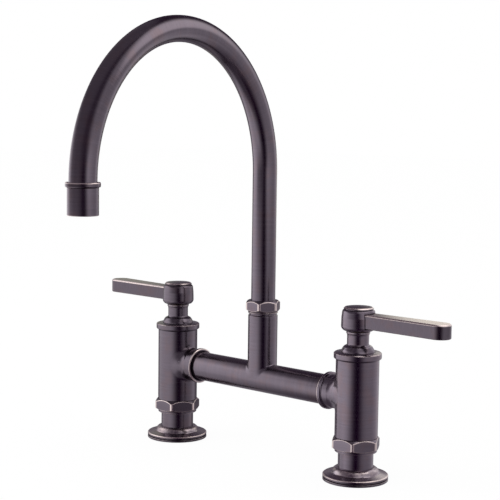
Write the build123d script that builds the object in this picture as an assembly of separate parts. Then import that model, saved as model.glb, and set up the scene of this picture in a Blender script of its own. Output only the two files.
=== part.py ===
from build123d import *
import math
import os

# A two handle bridge faucet for a kitchen sink. Millimetres, +Z up. The origin lies on the deck, midway
# between the two legs. The bridge runs along X, the user stands at -Y, and the spout is swung a little to
# the right, as it was left. The right leg is modelled and the left one is its mirror image.

# ---------------------------------------------------------------- driving dimensions
leg_pitch = 203.2            # the standard 8 inch spacing of two deck holes
deck_thickness = 30.0        # the worktop that the legs are clamped to
part_gap = 0.05              # between two pieces that are screwed or pushed together
edge_break = 0.6             # on the ends of tubes and threads
slide_gap = 0.08             # radial, between pieces that turn in each other
float_gap = 0.15             # along the axis, between pieces that turn on each other

# below the deck
shank_thread_r = 10.45       # 1/2 inch straight pipe thread, over its crests
water_bore_r = 7.0
washer_r = 17.5
washer_thickness = 2.0
deck_nut_height = 9.0
deck_nut_corner_r = 16.0
thread_relief_width = 1.6
thread_relief_depth = 0.9
supply_thread_length = 12.0

# base flange
flange_r = 26.3
flange_rim_height = 4.7
flange_height = 10.4
flange_dome_r = 19.3
flange_groove_r = 24.9
gasket_r = 21.5
gasket_thickness = 1.6
flange_web = 2.2

# neck and coupling nut
neck_r = 14.2
neck_length = 12.8           # seen between the flange and the coupling nut
nut_height = 11.6
nut_corner_r = 20.6
nut_foot_r = 17.0            # of the round foot under the nut's hexagon
nut_foot_height = 1.9
nut_lip = 3.2
nut_corner_flat = 0.75
shank_collar_r = 15.5
shank_collar_height = 3.0
union_washer_thickness = 1.4

# valve body
body_r = 17.3
body_height = 68.8
body_spigot_r = 15.9
body_rim_r = 19.1
body_rim_height = 5.6
cartridge_bore_r = 12.4
seat_r = 6.0
seat_height = 11.0           # of the seat above the nut's top
bridge_rise = 33.3           # of the bridge's axis above the nut's top
port_r = 6.0

# side boss
boss_ring_face = 29.9        # from the leg's axis to the ring's face
boss_ring_r = 15.2
boss_ring_width = 3.6
boss_neck_r = 13.7
boss_neck_start = 21.3       # from the leg's axis to the end of the flare
boss_flare_r = 15.1
boss_flare_start = 9.0       # inside the barrel
boss_swell = (13.88, 15.0, -15.4)    # where the bulging part of the flare ends, and its arc
boss_flare_arc = 9.0
socket_depth = 10.7
socket_mouth_r = 13.4
socket_mouth_depth = 0.9

# cartridge
seal_thickness = 2.0
seal_r = 9.4
disc_r = 9.6
disc_thickness = 3.0
disc_port_r = 2.6
disc_port_offset = 5.2
cartridge_wall = 2.3
window_r = 4.2
stop_height = 3.6
stem_r = 5.0
stem_shaft_r = 3.6
stem_plate_r = 8.4
stem_plate_height = 2.6
stem_tang = (11.0, 3.0, 1.6)
stem_collar_r = 7.4
stop_lug_angle = 16.0        # the lug on the stem's collar
stop_play = 2.5              # degrees past each end of the handle's travel
handle_travel = 90.0         # a quarter turn
stem_square = 6.4
stem_square_length = 11.0
o_ring_wire_r = 0.55

# bonnet
bonnet_rise = 16.3           # of its top above the body
bonnet_foot_r = 13.3
bonnet_foot_height = 0.5
bonnet_waist_rise = 6.2      # of the foot of the neck above the body
bonnet_neck_r = 8.75
bonnet_neck_end = 3.6        # from the bonnet's top
bonnet_lip_r = 9.5
bonnet_lip_height = 1.3
bonnet_spigot_length = 19.0

# handle
hub_gap = 0.5
hub_height = 17.2
hub_r = 13.75
hub_top_r = 12.3
hub_recess_r = 5.4
hub_recess_depth = 4.6
cap_r = 12.0
cap_bevel = (1.05, 1.1)      # of its edge, along the radius and down
cap_height = 2.2
cap_dome_rise = 0.45
cap_groove_r = 11.2
cap_groove_height = 0.55
cap_stalk_height = 1.6
screw_r = 2.0
screw_head_r = 4.4
screw_head_height = 2.6
screw_key_r = 1.8            # of the hexagon socket, over its corners
screw_key_depth = 1.6
screw_length = 9.0
lever_reach = 85.8           # from the leg's axis to the lever's tip
lever_height = 11.5
lever_lift = 3.0             # of its underside above the hub's underside
lever_root_width = 13.5
lever_tip_width = 17.4
lever_root_depth = 4.6       # how far the blade is let into the hub
lever_edge = 1.0
lever_under_edge = 0.5
pocket_rebate = (0.45, 1.5)  # width and depth of the step round the mouth of the lever's pocket
rest_turn = {"right": 0.7, "left": 1.6}  # degrees that each lever was left short of its own side's line

# bridge and riser
bridge_r = 12.3
bridge_wall = 3.0
riser_r = 12.4
riser_rise = 54.0            # of the riser's shoulder above the bridge's axis
riser_ring_r = 12.6
riser_ring_height = 1.2
riser_groove_height = 1.2    # of the groove between the shoulder and the ring
nut_clearance = 0.7          # between the ring and the spout nut
riser_thread_r = 11.2
bridge_seal_wire_r = 1.0
bridge_seal_inset = 5.0
seal_groove = 1.2            # half the width of a seal's groove, in radii of its wire

# spout joint
spout_nut_height = 8.8
spout_nut_corner_r = 15.2
spout_nut_corner_flat = 0.75
spout_nut_turn = -1.5        # degrees, as it was left when it was tightened
spout_nut_lip = 1.8
bush_thickness = 0.8
thrust_thickness = 0.8
spigot_length = 36.0
spigot_plug_length = 14.0
spigot_collar_thickness = 1.4
spigot_bore_r = 6.5
spout_seal_wire_r = 0.9
spout_seal_pitch = 9.0

# spout
spout_tube_r = 10.15
spout_wall = 1.5
spout_arc_r = 112.2
spout_straight = 110.4       # from the spigot's collar to the start of the arc
spout_swing = 7.3            # degrees to the right of straight ahead, as it was left
end_ring_r = 12.6
end_ring_height = 3.6
end_ring_socket = 2.8
end_tail_r = 10.0
end_tail_length = 12.0
end_bore_r = 8.0
sleeve_r = 11.26
sleeve_length = 19.8
sleeve_lip_r = 9.2
sleeve_lip_height = 2.7
insert_height = 3.6
insert_drop = 2.2
insert_wall = 1.4
insert_web = 0.7
screen_thickness = 1.2
screen_hole_r = 0.55
screen_hole_pitch = 1.75
flow_disc_thickness = 2.2
flow_hole_r = 0.7
flow_hole_pitch = 2.8

# ---------------------------------------------------------------- heights worked out from them
leg_x = leg_pitch / 2
neck_foot = gasket_thickness + flange_web
nut_bottom = flange_height + neck_length
nut_top = nut_bottom + nut_height
shank_top = nut_bottom + nut_lip + part_gap + shank_collar_height
body_foot = shank_top + union_washer_thickness
body_top = nut_top + body_height
bridge_z = nut_top + bridge_rise
seat_z = nut_top + seat_height
disc_z = seat_z + seal_thickness
moving_disc_z = disc_z + disc_thickness + part_gap
plate_z = moving_disc_z + disc_thickness
bonnet_foot = body_top - bonnet_spigot_length
bonnet_top = body_top + bonnet_rise
hub_bottom = bonnet_top + hub_gap
hub_top = hub_bottom + hub_height
recess_floor = hub_top - hub_recess_depth
square_top = hub_bottom + stem_square_length
cartridge_bore_in = cartridge_bore_r - part_gap - cartridge_wall
deck_nut_z = -(deck_thickness + washer_thickness + deck_nut_height)
relief_z = deck_nut_z - thread_relief_width
shank_foot = relief_z - supply_thread_length
bridge_half = leg_x - boss_ring_face + socket_depth - part_gap
bridge_bore_r = bridge_r - bridge_wall
riser_shoulder = bridge_z + riser_rise
riser_thread_z = riser_shoulder + riser_groove_height + riser_ring_height
spout_nut_z = riser_thread_z + nut_clearance
spout_nut_top = spout_nut_z + spout_nut_height
bush_top = spout_nut_top - spout_nut_lip
collar_top = bush_top - bush_thickness - float_gap
collar_z = collar_top - spigot_collar_thickness
riser_top = collar_z - float_gap - thrust_thickness
spout_arc_z = collar_top + spout_straight
end_ring_top = spout_arc_z + part_gap
end_ring_bottom = end_ring_top - end_ring_height
tail_foot = end_ring_bottom - end_tail_length
outlet_z = end_ring_bottom - part_gap - sleeve_length
insert_z = outlet_z + sleeve_lip_height
insert_skirt_r = sleeve_lip_r - part_gap
insert_bore_r = insert_skirt_r - insert_wall
screen_r = insert_bore_r - part_gap


# ---------------------------------------------------------------- ways to make a shape
def turned(*steps):
    """A solid turned about Z from (radius, height) steps. A third number bends the line to its step."""
    edges = []
    for before, after in zip(steps, steps[1:] + steps[:1]):
        if len(after) == 3:
            edges.append(RadiusArc(before[:2], after[:2], after[2]))
        else:
            edges.append(Line(before[:2], after[:2]))
    return revolve(Plane.XZ * make_face(edges), Axis.Z)


def ring(outer_r, inner_r, bottom, top):
    """A plain ring or tube about Z."""
    return turned((inner_r, bottom), (outer_r, bottom), (outer_r, top), (inner_r, top))


def rod(radius, bottom, top):
    """A plain round bar about Z."""
    return Pos(0, 0, (bottom + top) / 2) * Cylinder(radius, top - bottom)


def o_ring(groove_r, wire_r, height):
    """A rubber ring that lies in a groove about Z."""
    return Pos(0, 0, height) * Torus(groove_r + wire_r + part_gap / 2, wire_r)


def hexagon(corner_r, bottom, height, corner_flat, top_edge, bottom_edge):
    """A hexagon nut blank with flattened corners and turned chamfers on its ends. Two corners lie on X."""
    blank = extrude(Pos(0, 0, bottom) * RegularPolygon(corner_r, 6), height)
    blank = chamfer(blank.edges().filter_by(Axis.Z), corner_flat)
    top = bottom + height
    turned_ends = turned(
        (0, bottom),
        (corner_r - bottom_edge[0], bottom),
        (corner_r, bottom + bottom_edge[1]),
        (corner_r, top - top_edge[1]),
        (corner_r - top_edge[0], top),
        (0, top),
    )
    return blank & turned_ends


# ---------------------------------------------------------------- the leg, about its own axis
def base_flange():
    """The turned flange: rim with a groove round it, sloping face and dome, bored for the neck."""
    shape = turned(
        (0, 0),
        (flange_r, 0),
        (flange_r, 1.7),
        (flange_groove_r, 2.05),
        (flange_groove_r, 2.45),
        (flange_r, 2.8),
        (flange_r, flange_rim_height - 0.4),
        (flange_r - 0.5, flange_rim_height),
        (flange_dome_r + 0.5, flange_rim_height + 1.5),
        (flange_dome_r, flange_rim_height + 2.0),
        (neck_r + 1.6, flange_height - 0.1, -6.5),
        (neck_r + 0.6, flange_height),
        (0, flange_height),
    )
    shape -= rod(neck_r + part_gap, neck_foot, flange_height + 1)
    shape -= rod(shank_thread_r + slide_gap, -1, neck_foot + 1)
    return shape - rod(gasket_r + part_gap, -1, gasket_thickness)


def flange_gasket():
    """The rubber ring in the flange's underside, flush with its foot."""
    return ring(gasket_r, shank_thread_r + 2 * slide_gap, 0, gasket_thickness)


def shank():
    """The tailpiece: thread below the deck, smooth neck above the flange, collar inside the coupling nut."""
    relief_r = shank_thread_r - thread_relief_depth
    collar_z = shank_top - shank_collar_height
    return turned(
        (water_bore_r, shank_foot),
        (shank_thread_r - edge_break, shank_foot),
        (shank_thread_r, shank_foot + edge_break),
        (shank_thread_r, relief_z),
        (relief_r, relief_z),
        (relief_r, deck_nut_z),
        (shank_thread_r, deck_nut_z),
        (shank_thread_r, neck_foot),
        (neck_r, neck_foot),
        (neck_r, collar_z),
        (shank_collar_r, collar_z),
        (shank_collar_r, shank_top),
        (water_bore_r, shank_top),
    )


def deck_washer():
    """The steel washer that bears on the underside of the deck."""
    return ring(washer_r, shank_thread_r + slide_gap, -deck_thickness - washer_thickness, -deck_thickness)


def deck_nut():
    """The lock nut under the washer."""
    blank = hexagon(deck_nut_corner_r, deck_nut_z, deck_nut_height, 0.4, (1.6, 0.9), (1.6, 0.9))
    return blank - rod(shank_thread_r + part_gap, deck_nut_z - 1, deck_nut_z + deck_nut_height + 1)


def coupling_nut():
    """The union nut, held by the shank's collar and screwed on the body's spigot."""
    hex_bottom = nut_bottom + nut_foot_height
    hex_height = nut_height - nut_foot_height
    blank = hexagon(nut_corner_r, hex_bottom, hex_height, nut_corner_flat, (2.9, 2.5), (3.4, 1.9))
    blank += turned(
        (0, nut_bottom),
        (nut_foot_r - 0.5, nut_bottom),
        (nut_foot_r, nut_bottom + 0.5),
        (nut_foot_r, hex_bottom + 0.5),
        (0, hex_bottom + 0.5),
    )
    blank -= rod(neck_r + part_gap, nut_bottom - 1, nut_top)
    return blank - rod(body_spigot_r + part_gap, nut_bottom + nut_lip, nut_top + 1)


def union_washer():
    """The sealing washer between the shank and the body."""
    return ring(shank_collar_r, water_bore_r + 0.5, shank_top, body_foot)


def side_boss():
    """The boss and its ring, about Z from the leg's axis outwards, not yet laid towards the bridge."""
    ring_back = boss_ring_face - boss_ring_width
    return turned(
        (0, 0),
        (boss_flare_r, 0),
        (boss_flare_r, boss_flare_start),
        boss_swell,
        (boss_neck_r, boss_neck_start, boss_flare_arc),
        (boss_neck_r, ring_back - edge_break),
        (boss_ring_r - 0.5, ring_back),
        (boss_ring_r, ring_back + 0.5),
        (boss_ring_r, boss_ring_face - edge_break),
        (boss_ring_r - edge_break, boss_ring_face),
        (0, boss_ring_face),
    )


def towards_bridge(shape):
    """Lays a shape that was made about Z along -X, at the bridge's height."""
    return Pos(0, 0, bridge_z) * Rot(0, -90, 0) * shape


def valve_body():
    """The body: spigot, barrel with top rim, side boss, cartridge bore, seat and water ways."""
    shape = turned(
        (0, body_foot),
        (body_spigot_r, body_foot),
        (body_spigot_r, nut_top),
        (body_r, nut_top),
        (body_r, body_top - body_rim_height - 0.6),
        (body_rim_r - 0.3, body_top - body_rim_height + 0.4),
        (body_rim_r, body_top - body_rim_height + 0.9),
        (body_rim_r, body_top - 1.1),
        (body_rim_r - 0.7, body_top - 0.5),
        (bonnet_foot_r + 1.0, body_top),
        (0, body_top),
    )
    shape += towards_bridge(side_boss())
    shape -= rod(cartridge_bore_r, seat_z, body_top + 1)
    shape -= rod(seat_r, body_foot - 1, seat_z + 1)
    socket_floor = boss_ring_face - socket_depth
    mouth = boss_ring_face - socket_mouth_depth
    shape -= towards_bridge(rod(bridge_r + part_gap, socket_floor, boss_ring_face + 1))
    shape -= towards_bridge(turned(
        (0, mouth),
        (bridge_r, mouth),
        (socket_mouth_r, boss_ring_face),
        (socket_mouth_r, boss_ring_face + 1),
        (0, boss_ring_face + 1),
    ))
    return shape - towards_bridge(rod(port_r, 0, socket_floor + 1))


def seat_seal():
    """The rubber seal that presses the fixed disc up from the seat."""
    return ring(seal_r, seat_r, seat_z, disc_z)


def cartridge_housing():
    """The sleeve round the discs, with windows to the side port and the stop at its top."""
    shape = ring(cartridge_bore_r - part_gap, cartridge_bore_in, seat_z, bonnet_foot)
    for turn in (0, 90):
        shape -= Pos(0, 0, bridge_z) * Rot(0, 90, turn) * Cylinder(window_r, 4 * cartridge_bore_r)
    return shape + stop_arc()


def wedge(start, sweep, radius, bottom, height):
    """A pie slice about Z that starts at an angle from +X and sweeps anticlockwise, in degrees."""
    steps = max(2, math.ceil(abs(sweep) / 30))
    rim = [start + sweep * i / steps for i in range(steps + 1)]
    points = [(0, 0)] + [
        (radius * math.cos(math.radians(a)), radius * math.sin(math.radians(a))) for a in rim
    ]
    return extrude(Pos(0, 0, bottom) * make_face(Polyline(*points, close=True)), height)


def stop_arc():
    """The part ring inside the housing that the stem's lug meets at each end of its quarter turn."""
    bottom = bonnet_foot - stop_height
    arc = ring(cartridge_bore_in + 0.1, stem_collar_r + slide_gap, bottom, bonnet_foot)
    start = -handle_travel - stop_lug_angle / 2 - stop_play
    free = handle_travel + stop_lug_angle + 2 * stop_play
    return arc - wedge(start, free, 3 * cartridge_bore_r, bottom - 1, stop_height + 2)


def disc_ports(bottom):
    """The two round ports through a ceramic disc."""
    return [
        Pos(x, 0, bottom + disc_thickness / 2) * Cylinder(disc_port_r, 2 * disc_thickness)
        for x in (-disc_port_offset, disc_port_offset)
    ]


def fixed_disc():
    """The lower ceramic disc, with two ports."""
    return rod(disc_r, disc_z, disc_z + disc_thickness) - disc_ports(disc_z)


def tang(clearance, height):
    """The bar under the stem's plate that drives the moving disc."""
    length, width = stem_tang[0] + 2 * clearance, stem_tang[1] + 2 * clearance
    return Pos(0, 0, plate_z - height / 2) * Box(length, width, height)


def moving_disc():
    """The upper ceramic disc, turned a quarter from the ports, with the slot for the stem."""
    shape = rod(disc_r, moving_disc_z, plate_z)
    shape -= [Rot(0, 0, 90) * port for port in disc_ports(moving_disc_z)]
    return shape - tang(part_gap, stem_tang[2] + part_gap)


def valve_stem():
    """The stem: plate and tang on the disc, shaft, stop collar, sealed journal and square end."""
    collar_foot = bonnet_foot - stop_height + float_gap
    collar_head = bonnet_foot - float_gap
    groove_z = body_top - bonnet_spigot_length / 2
    groove_r = stem_r - 2 * o_ring_wire_r
    shape = turned(
        (0, plate_z),
        (stem_plate_r, plate_z),
        (stem_plate_r, plate_z + stem_plate_height),
        (stem_shaft_r, plate_z + stem_plate_height),
        (stem_shaft_r, collar_foot),
        (stem_collar_r, collar_foot),
        (stem_collar_r, collar_head),
        (stem_r, collar_head),
        (stem_r, groove_z - 2 * o_ring_wire_r),
        (groove_r, groove_z - 2 * o_ring_wire_r),
        (groove_r, groove_z + 2 * o_ring_wire_r),
        (stem_r, groove_z + 2 * o_ring_wire_r),
        (stem_r, hub_bottom),
        (0, hub_bottom),
    )
    lug_r = cartridge_bore_in - slide_gap
    lug = wedge(-stop_lug_angle / 2, stop_lug_angle, 3 * lug_r, collar_foot, collar_head - collar_foot)
    shape += lug & ring(lug_r, stem_collar_r - 1, collar_foot, collar_head)
    square = Box(stem_square, stem_square, stem_square_length)
    shape += Pos(0, 0, hub_bottom + stem_square_length / 2) * square
    shape += tang(0, stem_tang[2])
    tapped = recess_floor - screw_length
    return shape - rod(screw_r + part_gap, tapped - 1, square_top + 1)


def stem_o_ring():
    """The rubber ring in the stem's groove."""
    groove_z = body_top - bonnet_spigot_length / 2
    return o_ring(stem_r - 2 * o_ring_wire_r, o_ring_wire_r - part_gap / 2, groove_z)


def bonnet():
    """The packing nut: spigot in the body, flared foot, waisted neck and lip under the handle."""
    foot_top = body_top + bonnet_foot_height
    return turned(
        (stem_r + slide_gap, bonnet_foot),
        (cartridge_bore_r - part_gap, bonnet_foot),
        (cartridge_bore_r - part_gap, body_top),
        (bonnet_foot_r, body_top),
        (bonnet_foot_r, foot_top),
        (bonnet_foot_r - 1.2, foot_top + 2.6, -6.0),
        (bonnet_foot_r - 3.1, foot_top + 4.4, -3.2),
        (bonnet_neck_r, body_top + bonnet_waist_rise, 2.2),
        (bonnet_neck_r, bonnet_top - bonnet_neck_end),
        (bonnet_lip_r, bonnet_top - bonnet_lip_height, 4.2),
        (bonnet_lip_r, bonnet_top),
        (stem_r + slide_gap, bonnet_top),
    )


def handle_hub():
    """The round hub: square hole below, recess above for the screw and cap, pocket for the lever."""
    shape = turned(
        (0, hub_bottom),
        (hub_r - 3.6, hub_bottom),
        (hub_r, hub_bottom + 3.6, -4.0),
        (hub_r - 0.15, hub_top - 6.5),
        (hub_r - 0.6, hub_top - 2.6),
        (hub_top_r, hub_top - 0.5, -3.0),
        (hub_top_r - 0.8, hub_top),
        (0, hub_top),
    )
    side = stem_square + 2 * part_gap
    square = Box(side, side, stem_square_length + 2 * part_gap)
    shape -= Pos(0, 0, hub_bottom + stem_square_length / 2) * square
    shape -= rod(screw_r + 2 * part_gap, hub_bottom, hub_top)
    shape -= rod(hub_recess_r, recess_floor, hub_top + 1)
    rebate_width, rebate_depth = pocket_rebate
    mouth = lever_blade(rebate_width) - rod(hub_r - rebate_depth, hub_bottom, hub_top)
    return shape - lever_blade(part_gap) - mouth


def lever_blade(clearance):
    """The blade along +X, grown by a clearance when it is used to cut its pocket in the hub."""
    start = hub_r - lever_root_depth - clearance
    root = lever_root_width / 2 + clearance
    tip = lever_tip_width / 2 + clearance
    centre = lever_reach - lever_tip_width / 2
    bottom = hub_bottom + lever_lift - clearance
    outline = Polyline((start, -root), (hub_r, -root), (centre, -tip))
    outline += Polyline((centre, tip), (hub_r, root), (start, root), (start, -root))
    outline += ThreePointArc((centre, -tip), (centre + tip, 0), (centre, tip))
    return extrude(Pos(0, 0, bottom) * make_face(outline.edges()), lever_height + 2 * clearance)


def lever():
    """The lever: a flat blade that widens to a half-round end, with its upper and lower edges eased."""
    blade = lever_blade(0)
    hidden_end = hub_r - lever_root_depth + part_gap
    for which, size in ((-1, lever_edge), (0, lever_under_edge)):
        face = blade.faces().sort_by(Axis.Z)[which]
        blade = chamfer([edge for edge in face.edges() if edge.center().X > hidden_end], size)
    return blade


def handle_screw():
    """The socket screw from the hub's recess into the stem."""
    head_top = recess_floor + screw_head_height
    shape = turned(
        (0, recess_floor - screw_length),
        (screw_r, recess_floor - screw_length),
        (screw_r, recess_floor),
        (screw_head_r, recess_floor),
        (screw_head_r, head_top - 0.4),
        (screw_head_r - 0.4, head_top),
        (0, head_top),
    )
    key = RegularPolygon(screw_key_r, 6)
    return shape - extrude(Pos(0, 0, head_top - screw_key_depth) * key, 2 * screw_key_depth)


def index_cap():
    """The round cap: a stalk in the hub's recess, a narrow groove and a slightly domed disc."""
    disc_foot = hub_top + cap_groove_height
    dome_edge = cap_r - cap_bevel[0]
    dome_foot = hub_top + cap_height - cap_dome_rise
    dome_r = (dome_edge**2 + cap_dome_rise**2) / (2 * cap_dome_rise)
    return turned(
        (0, hub_top - cap_stalk_height),
        (hub_recess_r - part_gap, hub_top - cap_stalk_height),
        (hub_recess_r - part_gap, hub_top),
        (cap_groove_r, hub_top),
        (cap_groove_r, disc_foot),
        (cap_r, disc_foot),
        (cap_r, dome_foot - cap_bevel[1]),
        (dome_edge, dome_foot),
        (0, hub_top + cap_height, -dome_r),
    )


# ---------------------------------------------------------------- bridge and riser
def bridge_tee():
    """The bridge tube, its two sealed ends and the riser, brazed into one."""
    shape = Pos(0, 0, bridge_z) * Rot(0, 90, 0) * Cylinder(bridge_r, 2 * bridge_half)
    ring_foot = riser_shoulder + riser_groove_height
    shape += turned(
        (0, bridge_z),
        (riser_r, bridge_z),
        (riser_r, riser_shoulder - edge_break),
        (riser_r - edge_break, riser_shoulder),
        (riser_thread_r, riser_shoulder),
        (riser_thread_r, ring_foot),
        (riser_ring_r - 0.3, ring_foot),
        (riser_ring_r, ring_foot + 0.3),
        (riser_ring_r, riser_thread_z - 0.3),
        (riser_ring_r - 0.3, riser_thread_z),
        (riser_thread_r, riser_thread_z),
        (riser_thread_r, riser_top),
        (0, riser_top),
    )
    shape -= Pos(0, 0, bridge_z) * Rot(0, 90, 0) * Cylinder(bridge_bore_r, 2 * bridge_half + 2)
    shape -= rod(bridge_bore_r, bridge_z, riser_top + 1)
    groove_r = bridge_r - 2 * bridge_seal_wire_r
    half_width = seal_groove * bridge_seal_wire_r
    groove = ring(bridge_r + 1, groove_r, -half_width, half_width)
    for side in (-1, 1):
        shape -= Pos(side * (bridge_half - bridge_seal_inset), 0, bridge_z) * Rot(0, 90, 0) * groove
    return shape


def bridge_o_rings():
    """The two rubber rings that seal the bridge's ends in the bodies."""
    wire_r = bridge_seal_wire_r - part_gap / 2
    seal = Torus(bridge_r - 2 * bridge_seal_wire_r + part_gap / 2 + wire_r, wire_r)
    return [
        Pos(side * (bridge_half - bridge_seal_inset), 0, bridge_z) * Rot(0, 90, 0) * seal for side in (-1, 1)
    ]


def spout_nut():
    """The hexagon nut that holds the spout down on the riser."""
    edges = (2.4, 2.1), (2.4, 1.8)
    blank = hexagon(spout_nut_corner_r, spout_nut_z, spout_nut_height, spout_nut_corner_flat, *edges)
    blank = Rot(0, 0, spout_nut_turn) * blank
    blank -= rod(riser_thread_r + part_gap, spout_nut_z - 1, bush_top)
    return blank - rod(spout_tube_r + slide_gap, bush_top - 1, spout_nut_top + 1)


def thrust_washer():
    """The plastic washer that the spout's collar turns on."""
    top = riser_top + thrust_thickness
    return ring(riser_thread_r - part_gap, bridge_bore_r + slide_gap, riser_top, top)


def swivel_bush():
    """The plastic ring between the collar and the nut's lip."""
    return ring(riser_thread_r - part_gap, spout_tube_r + slide_gap, bush_top - bush_thickness, bush_top)


# ---------------------------------------------------------------- the spout, drawn straight ahead along -Y
def spout_path():
    """The tube's centre line: up, half round, and down to the end ring."""
    end_z = end_ring_top - end_ring_socket
    rise = Line((0, 0, collar_top), (0, 0, spout_arc_z))
    arc = ThreePointArc(
        (0, 0, spout_arc_z),
        (0, -spout_arc_r, spout_arc_z + spout_arc_r),
        (0, -2 * spout_arc_r, spout_arc_z),
    )
    fall = Line((0, -2 * spout_arc_r, spout_arc_z), (0, -2 * spout_arc_r, end_z))
    return rise + arc + fall


def spout_tube():
    """The gooseneck tube, of one bore and wall throughout."""
    section = Pos(0, 0, collar_top) * (Circle(spout_tube_r) - Circle(spout_tube_r - spout_wall))
    return sweep(section, path=spout_path())


def spout_spigot():
    """The foot brazed into the tube: plug above, collar, and the sealed journal that turns in the riser."""
    journal_r = bridge_bore_r - slide_gap
    plug_r = spout_tube_r - spout_wall - part_gap
    foot = collar_z - spigot_length
    shape = turned(
        (spigot_bore_r, foot),
        (journal_r - edge_break, foot),
        (journal_r, foot + edge_break),
        (journal_r, collar_z),
        (riser_thread_r - slide_gap, collar_z),
        (riser_thread_r - slide_gap, collar_top),
        (plug_r, collar_top),
        (plug_r, collar_top + spigot_plug_length),
        (spigot_bore_r, collar_top + spigot_plug_length),
    )
    groove_r = journal_r - 2 * spout_seal_wire_r
    half_width = seal_groove * spout_seal_wire_r
    for height in spout_seal_heights():
        shape -= ring(journal_r + 1, groove_r, height - half_width, height + half_width)
    return shape


def spout_seal_heights():
    """The heights of the two seals on the spout's journal."""
    first = collar_z - spigot_length / 2
    return [first, first + spout_seal_pitch]


def spout_o_rings():
    """The two rubber rings on the spout's journal."""
    groove_r = bridge_bore_r - slide_gap - 2 * spout_seal_wire_r
    return [o_ring(groove_r, spout_seal_wire_r - part_gap / 2, height) for height in spout_seal_heights()]


def at_outlet(shape):
    """Moves a shape made about Z to the axis of the spout's outlet."""
    return Pos(0, -2 * spout_arc_r, 0) * shape


def spout_end_ring():
    """The ring brazed on the tube's end, with the threaded tail for the sleeve."""
    seat = end_ring_top - end_ring_socket
    socket_r = spout_tube_r + part_gap
    return at_outlet(turned(
        (end_bore_r, tail_foot),
        (end_tail_r, tail_foot),
        (end_tail_r, end_ring_bottom),
        (end_ring_r - 0.9, end_ring_bottom),
        (end_ring_r - 0.3, end_ring_bottom + 0.3),
        (end_ring_r, end_ring_bottom + 0.8),
        (end_ring_r, end_ring_top - 0.5),
        (end_ring_r - 0.5, end_ring_top),
        (socket_r, end_ring_top),
        (socket_r, seat),
        (end_bore_r, seat),
    ))


def aerator_sleeve():
    """The sleeve screwed on the tail, with the lip that carries the insert."""
    bore_r = end_tail_r + part_gap
    top = end_ring_bottom - part_gap
    return at_outlet(turned(
        (sleeve_lip_r, outlet_z),
        (sleeve_r - 0.3, outlet_z),
        (sleeve_r, outlet_z + 0.3),
        (sleeve_r, top - 0.3),
        (sleeve_r - 0.3, top),
        (bore_r, top),
        (bore_r, insert_z),
        (sleeve_lip_r, insert_z),
    ))


def aerator_insert():
    """The stepped insert: flange on the sleeve's lip and a skirt that reaches towards the outlet."""
    web_r = insert_bore_r - insert_web
    skirt_foot = insert_z - insert_drop
    screen_top = skirt_foot + screen_thickness
    flow_seat = insert_z + insert_height - flow_disc_thickness
    return at_outlet(turned(
        (insert_bore_r, skirt_foot),
        (insert_skirt_r, skirt_foot),
        (insert_skirt_r, insert_z),
        (end_tail_r - part_gap, insert_z),
        (end_tail_r - part_gap, insert_z + insert_height),
        (insert_bore_r, insert_z + insert_height),
        (insert_bore_r, flow_seat),
        (web_r, flow_seat),
        (web_r, screen_top),
        (insert_bore_r, screen_top),
    ))


def hole_grid(reach, pitch):
    """The places of holes on a triangular grid within a reach of the axis."""
    rows = math.ceil(reach / (pitch * math.sqrt(3) / 2))
    places = []
    for row in range(-rows, rows + 1):
        y = row * pitch * math.sqrt(3) / 2
        shift = pitch / 2 if row % 2 else 0.0
        columns = math.ceil(reach / pitch) + 1
        for column in range(-columns, columns + 1):
            x = column * pitch + shift
            if math.hypot(x, y) <= reach:
                places.append((x, y))
    return places


def drilled_disc(radius, bottom, thickness, hole_r, pitch):
    """A disc about Z drilled all over with small holes."""
    holes = Sketch() + [Pos(x, y) * Circle(hole_r) for x, y in hole_grid(radius - 3 * hole_r, pitch)]
    return extrude(Pos(0, 0, bottom) * (Circle(radius) - holes), thickness)


def aerator_screen():
    """The drilled screen in the insert's skirt."""
    bottom = insert_z - insert_drop
    return at_outlet(drilled_disc(screen_r, bottom, screen_thickness, screen_hole_r, screen_hole_pitch))


def flow_regulator():
    """The drilled disc that limits the flow, in the insert's top."""
    bottom = insert_z + insert_height - flow_disc_thickness
    return at_outlet(drilled_disc(screen_r, bottom, flow_disc_thickness, flow_hole_r, flow_hole_pitch))


def aerator_washer():
    """The rubber washer between the insert and the tail."""
    return at_outlet(ring(end_tail_r - part_gap, end_bore_r, insert_z + insert_height, tail_foot))


# ---------------------------------------------------------------- putting it together
FIXED_LEG_PIECES = {
    "base_flange": base_flange,
    "flange_gasket": flange_gasket,
    "shank": shank,
    "deck_washer": deck_washer,
    "deck_nut": deck_nut,
    "coupling_nut": coupling_nut,
    "union_washer": union_washer,
    "valve_body": valve_body,
    "seat_seal": seat_seal,
    "cartridge_housing": cartridge_housing,
    "fixed_disc": fixed_disc,
    "bonnet": bonnet,
}
HANDLE_PIECES = {
    "moving_disc": moving_disc,
    "valve_stem": valve_stem,
    "stem_o_ring": stem_o_ring,
    "handle_hub": handle_hub,
    "lever": lever,
    "handle_screw": handle_screw,
    "index_cap": index_cap,
}
MIDDLE_PIECES = {
    "bridge_tee": bridge_tee,
    "bridge_o_rings": bridge_o_rings,
    "spout_nut": spout_nut,
    "thrust_washer": thrust_washer,
    "swivel_bush": swivel_bush,
}
SPOUT_PIECES = {
    "spout_tube": spout_tube,
    "spout_spigot": spout_spigot,
    "spout_o_rings": spout_o_rings,
    "spout_end_ring": spout_end_ring,
    "aerator_sleeve": aerator_sleeve,
    "aerator_insert": aerator_insert,
    "flow_regulator": flow_regulator,
    "aerator_screen": aerator_screen,
    "aerator_washer": aerator_washer,
}


def solids_of(shape):
    """The separate solids of a piece or of a list of pieces."""
    shapes = shape if isinstance(shape, list) else [shape]
    return [solid for one in shapes for solid in one.solids()]


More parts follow.
